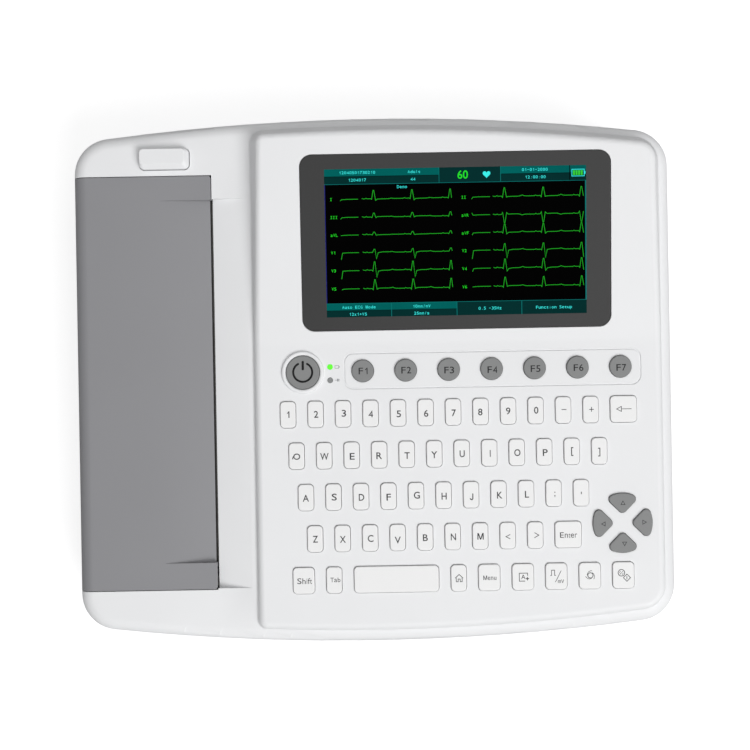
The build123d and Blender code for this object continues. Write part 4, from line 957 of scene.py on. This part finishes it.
# text, centre across, centre down
TEXTS = (
    ("12040501730210", 0.126, 0.0245), ("1204017", 0.126, 0.0745), ("Adult", 0.3436, 0.0245),
    ("44", 0.339, 0.0745), ("01-01-2000", 0.804, 0.0245), ("12:00:00", 0.806, 0.0745),
    ("Demo", 0.2967, 0.124), ("Auto ECG Mode", 0.1237, 0.933), ("12x1+V5", 0.120, 0.981),
    ("10mm/mV", 0.365, 0.933), ("25mm/s", 0.365, 0.981), ("0.5 -35Hz", 0.628, 0.955),
    ("Function Setup", 0.874, 0.955),
)
TEXT_PITCH = 1.545
HEART_SCALE = 0.142                                 # mm per unit of the heart curve
CELL_LEFT, CELL_RIGHT = across(0.9455), across(0.9925)
CELL_LOW, CELL_HIGH = down(0.073), down(0.028)


def heart():
    outline = []
    for i in range(36):
        t = 2 * math.pi * i / 36
        x = 16 * math.sin(t) ** 3
        y = 13 * math.cos(t) - 5 * math.cos(2 * t) - 2 * math.cos(3 * t) - math.cos(4 * t)
        outline.append((across(0.620) + x * HEART_SCALE, down(0.050) + y * HEART_SCALE))
    return outline


sheet = Print(INK_Z)
for string, x, y in TEXTS:
    start = across(x) - TEXT_PITCH * len(string) / 2
    sheet.mono(string, start, down(y), cap=1.68, pitch=TEXT_PITCH, bold=0.05)
sheet.prism(heart())
# battery outline and its tip
sheet.strip([(CELL_LEFT, CELL_LOW), (CELL_RIGHT, CELL_LOW), (CELL_RIGHT, CELL_HIGH),
             (CELL_LEFT, CELL_HIGH)], width=0.40, closed=True)
cell_middle = (CELL_LOW + CELL_HIGH) / 2
sheet.box(CELL_RIGHT + 0.2, CELL_RIGHT + 0.75, cell_middle - 0.8, cell_middle + 0.8)
build_display(sheet, "display_text", "display_cyan")

# battery bars and the heart rate
sheet = Print(INK_Z)
sheet.ink = 1
bar_width = (CELL_RIGHT - CELL_LEFT - 1.6) / 4
for i in range(4):
    left = CELL_LEFT + 0.65 + i * (bar_width + 0.1)
    sheet.box(left, left + bar_width - 0.25, CELL_LOW + 0.55, CELL_HIGH - 0.55)
sheet.ink = 0
sheet.text("60", across(0.529), down(0.050), cap=4.65, wide=0.95, bold=0.16)
build_display(sheet, "display_rate", "display_green", "display_lime")

BASELINES = (0.203, 0.324, 0.444, 0.563, 0.685, 0.808)
# Leads: name, spike up, dip after it, dip before it, late wave up, drop of the trace's start.
# Columns: name's left, trace's start, end of first part, start of second, spikes, end,
# baseline shift, leads.
LEAD_COLUMNS = (
    (0.020, 0.064, 0.128, 0.142, (0.188, 0.335, 0.481), 0.4855, 0.0, (
        ("I", 0.058, 0.010, 0.003, 0.004, 0.010),
        ("III", 0.026, 0.006, 0.004, 0.003, 0.012),
        ("aVL", 0.018, 0.002, 0.002, 0.002, 0.002),
        ("V1", 0.021, 0.044, 0.000, 0.004, 0.046),
        ("V3", 0.058, 0.048, 0.006, 0.006, 0.056),
        ("V5", 0.060, 0.006, 0.008, 0.007, 0.006))),
    (0.522, 0.566, 0.632, 0.643, (0.688, 0.836, 0.982), 0.989, -0.0015, (
        ("II", 0.058, 0.004, 0.008, 0.008, 0.014),
        ("aVR", -0.056, -0.012, -0.014, -0.006, -0.014),
        ("aVF", 0.056, 0.012, 0.006, 0.007, 0.016),
        ("V2", 0.042, 0.056, 0.004, 0.006, 0.058),
        ("V4", 0.060, 0.022, 0.006, 0.008, 0.022),
        ("V6", 0.060, 0.004, 0.008, 0.006, 0.004))),
)
sheet = Print(INK_Z)
for name_left, *_, leads in LEAD_COLUMNS:
    for baseline, (name, *_) in zip(BASELINES, leads):
        sheet.mono(name, across(name_left), down(baseline - 0.0005), cap=1.72, pitch=1.48,
                   bold=0.07)
build_display(sheet, "display_lead_names", "display_green")


def beat(spike, dip, first_dip, late_wave):
    """One heartbeat as (right, up) about its spike, in display fractions."""
    return [
        (-0.034, 0.000), (-0.030, 0.004), (-0.024, 0.000), (-0.012, 0.001), (-0.008, -first_dip),
        (-0.0022, spike), (0.0006 if abs(spike) > 0.04 else 0.0012, spike),
        (0.0070, -dip), (0.0135, 0.000 if dip < 0.02 else -0.004),
        (0.030, 0.001), (0.052, 0.001), (0.060, 0.4 * late_wave), (0.067, late_wave),
        (0.074, 0.3 * late_wave), (0.082, 0.000),
    ]


def trace(sheet, baseline, start, first_end, second_start, spikes, end, shape, drop):
    """One lead's line: a flat first part, a gap, then the beats."""
    width = 0.34
    sheet.strip([(across(start - 0.004), down(baseline + drop)),
                 (across(start + 0.001), down(baseline + 0.002)),
                 (across(start + 0.02), down(baseline)),
                 (across(first_end), down(baseline))], width)
    points = [(second_start, 0.004), (second_start + 0.006, 0.0)]
    for spike_x in spikes:
        for right, up in beat(*shape):
            if points[-1][0] + 0.0008 < spike_x + right <= end:
                points.append((spike_x + right, up))
    if points[-1][0] < end - 0.002:
        points.append((end, 0.0))
    line = []
    for i, (x, up) in enumerate(points):
        # the flat stretches waver a little
        waver = 0.0014 * math.sin(i * 12.9898 + baseline * 78.2) if abs(up) < 0.01 else 0
        line.append((across(x), down(baseline - up + waver)))
    sheet.strip(line, width)


sheet = Print(INK_Z)
for i, baseline in enumerate(BASELINES):
    for _, *course, shift, leads in LEAD_COLUMNS:
        _, *shape, drop = leads[i]
        trace(sheet, baseline + shift, *course, shape, drop)
build_display(sheet, "display_traces", "display_trace")

# ------------------------------------------------------------------ studio
bpy.context.scene.view_settings.view_transform = "Standard"
FLOOR_RADIUS, FLOOR_SIDES = 4.0, 64                 # m
FLOOR_DROP = 0.0003                                 # keeps the floor clear of the feet, m
AMBIENT = 0.33                                      # world strength, except to the camera
LIGHT_TARGET = (0, 0, 0.05)


def floor_material():
    shader, bsdf, output = new_material("pale_floor")
    slow = shader.noise(shader.coords(), scale=2.0)
    colour = shader.mix(shader.remap(slow, to=(0, 1), span=NOISE_MIDDLE),
                        (0.50, 0.50, 0.505), (0.52, 0.52, 0.52))
    # glows to the camera so it looks pale, but lights the product very little
    seen = shader.node("LightPath").outputs["Is Camera Ray"]
    shader.fill(bsdf, {
        "Base Color": colour, "Roughness": 0.9, "Specular IOR Level": 0.1,
        "Emission Color": (1, 1, 1), "Emission Strength": shader.remap(seen, to=(0.04, 0.70)),
    })
    # clear when seen from below, so the underside can be looked at
    below = shader.node("NewGeometry").outputs["Backfacing"]
    clear = shader.node("BsdfTransparent").outputs["BSDF"]
    sides = shader.node("MixShader", {0: below, 1: bsdf.outputs["BSDF"], 2: clear})
    shader.fill(output, {"Surface": sides.outputs[0]})


def add_floor():
    angles = [2 * math.pi * i / FLOOR_SIDES for i in range(FLOOR_SIDES)]
    mesh = bpy.data.meshes.new("floor")
    mesh.from_pydata([(FLOOR_RADIUS * math.cos(a), FLOOR_RADIUS * math.sin(a), 0)
                      for a in angles], [], [list(range(FLOOR_SIDES))])
    floor = add_object("floor", mesh)
    floor_material()
    mesh.materials.append(MATERIALS["pale_floor"])
    floor.location = (0, 0, -FLOOR_DROP)


def add_world():
    """Dim white light all round, full white to the camera."""
    world = bpy.data.worlds.new("studio")
    bpy.context.scene.world = world
    world.use_nodes = True
    shader = Shader(world.node_tree)
    background = world.node_tree.nodes["Background"]
    shader.fill(background, {"Color": (1, 1, 1), "Strength": AMBIENT})
    seen = shader.node("LightPath").outputs["Is Camera Ray"]
    shader.fill(background, {"Strength": shader.remap(seen, to=(AMBIENT, 1.0))})


def add_area_light(name, position, size, watts):
    light = bpy.data.lights.new(name, "AREA")
    light.shape = "DISK"
    light.size = size
    light.energy = watts
    lamp = add_object(name, light)
    lamp.location = position
    aim = Vector(LIGHT_TARGET) - Vector(position)
    lamp.rotation_euler = aim.to_track_quat("-Z", "Y").to_euler()


def add_camera():
    """Square on to the keyboard surface, turned by a slight roll."""
    camera = bpy.data.cameras.new("camera")
    camera.sensor_width = 36.0
    camera.lens = 80.82
    camera.clip_start = 0.05
    viewer = add_object("camera", camera)
    roll = math.radians(1.02)
    panel_x, panel_y, panel_z = [(PANEL.to_3x3() @ Vector(axis)).normalized()
                                 for axis in ((1, 0, 0), (0, 1, 0), (0, 0, 1))]
    right = panel_x * math.cos(roll) - panel_y * math.sin(roll)
    up = panel_x * math.sin(roll) + panel_y * math.cos(roll)
    pose = Matrix((right, up, panel_z)).transposed().to_4x4()
    pose.translation = PANEL @ Vector((0.34, 2.75, 1000.0))
    viewer.matrix_world = pose
    bpy.context.scene.camera = viewer


add_floor()
add_world()
add_area_light("key", position=(1.75, -2.45, 3.45), size=3.0, watts=142)
add_area_light("top", position=(0.4, 0.3, 3.6), size=2.8, watts=24)
add_camera()
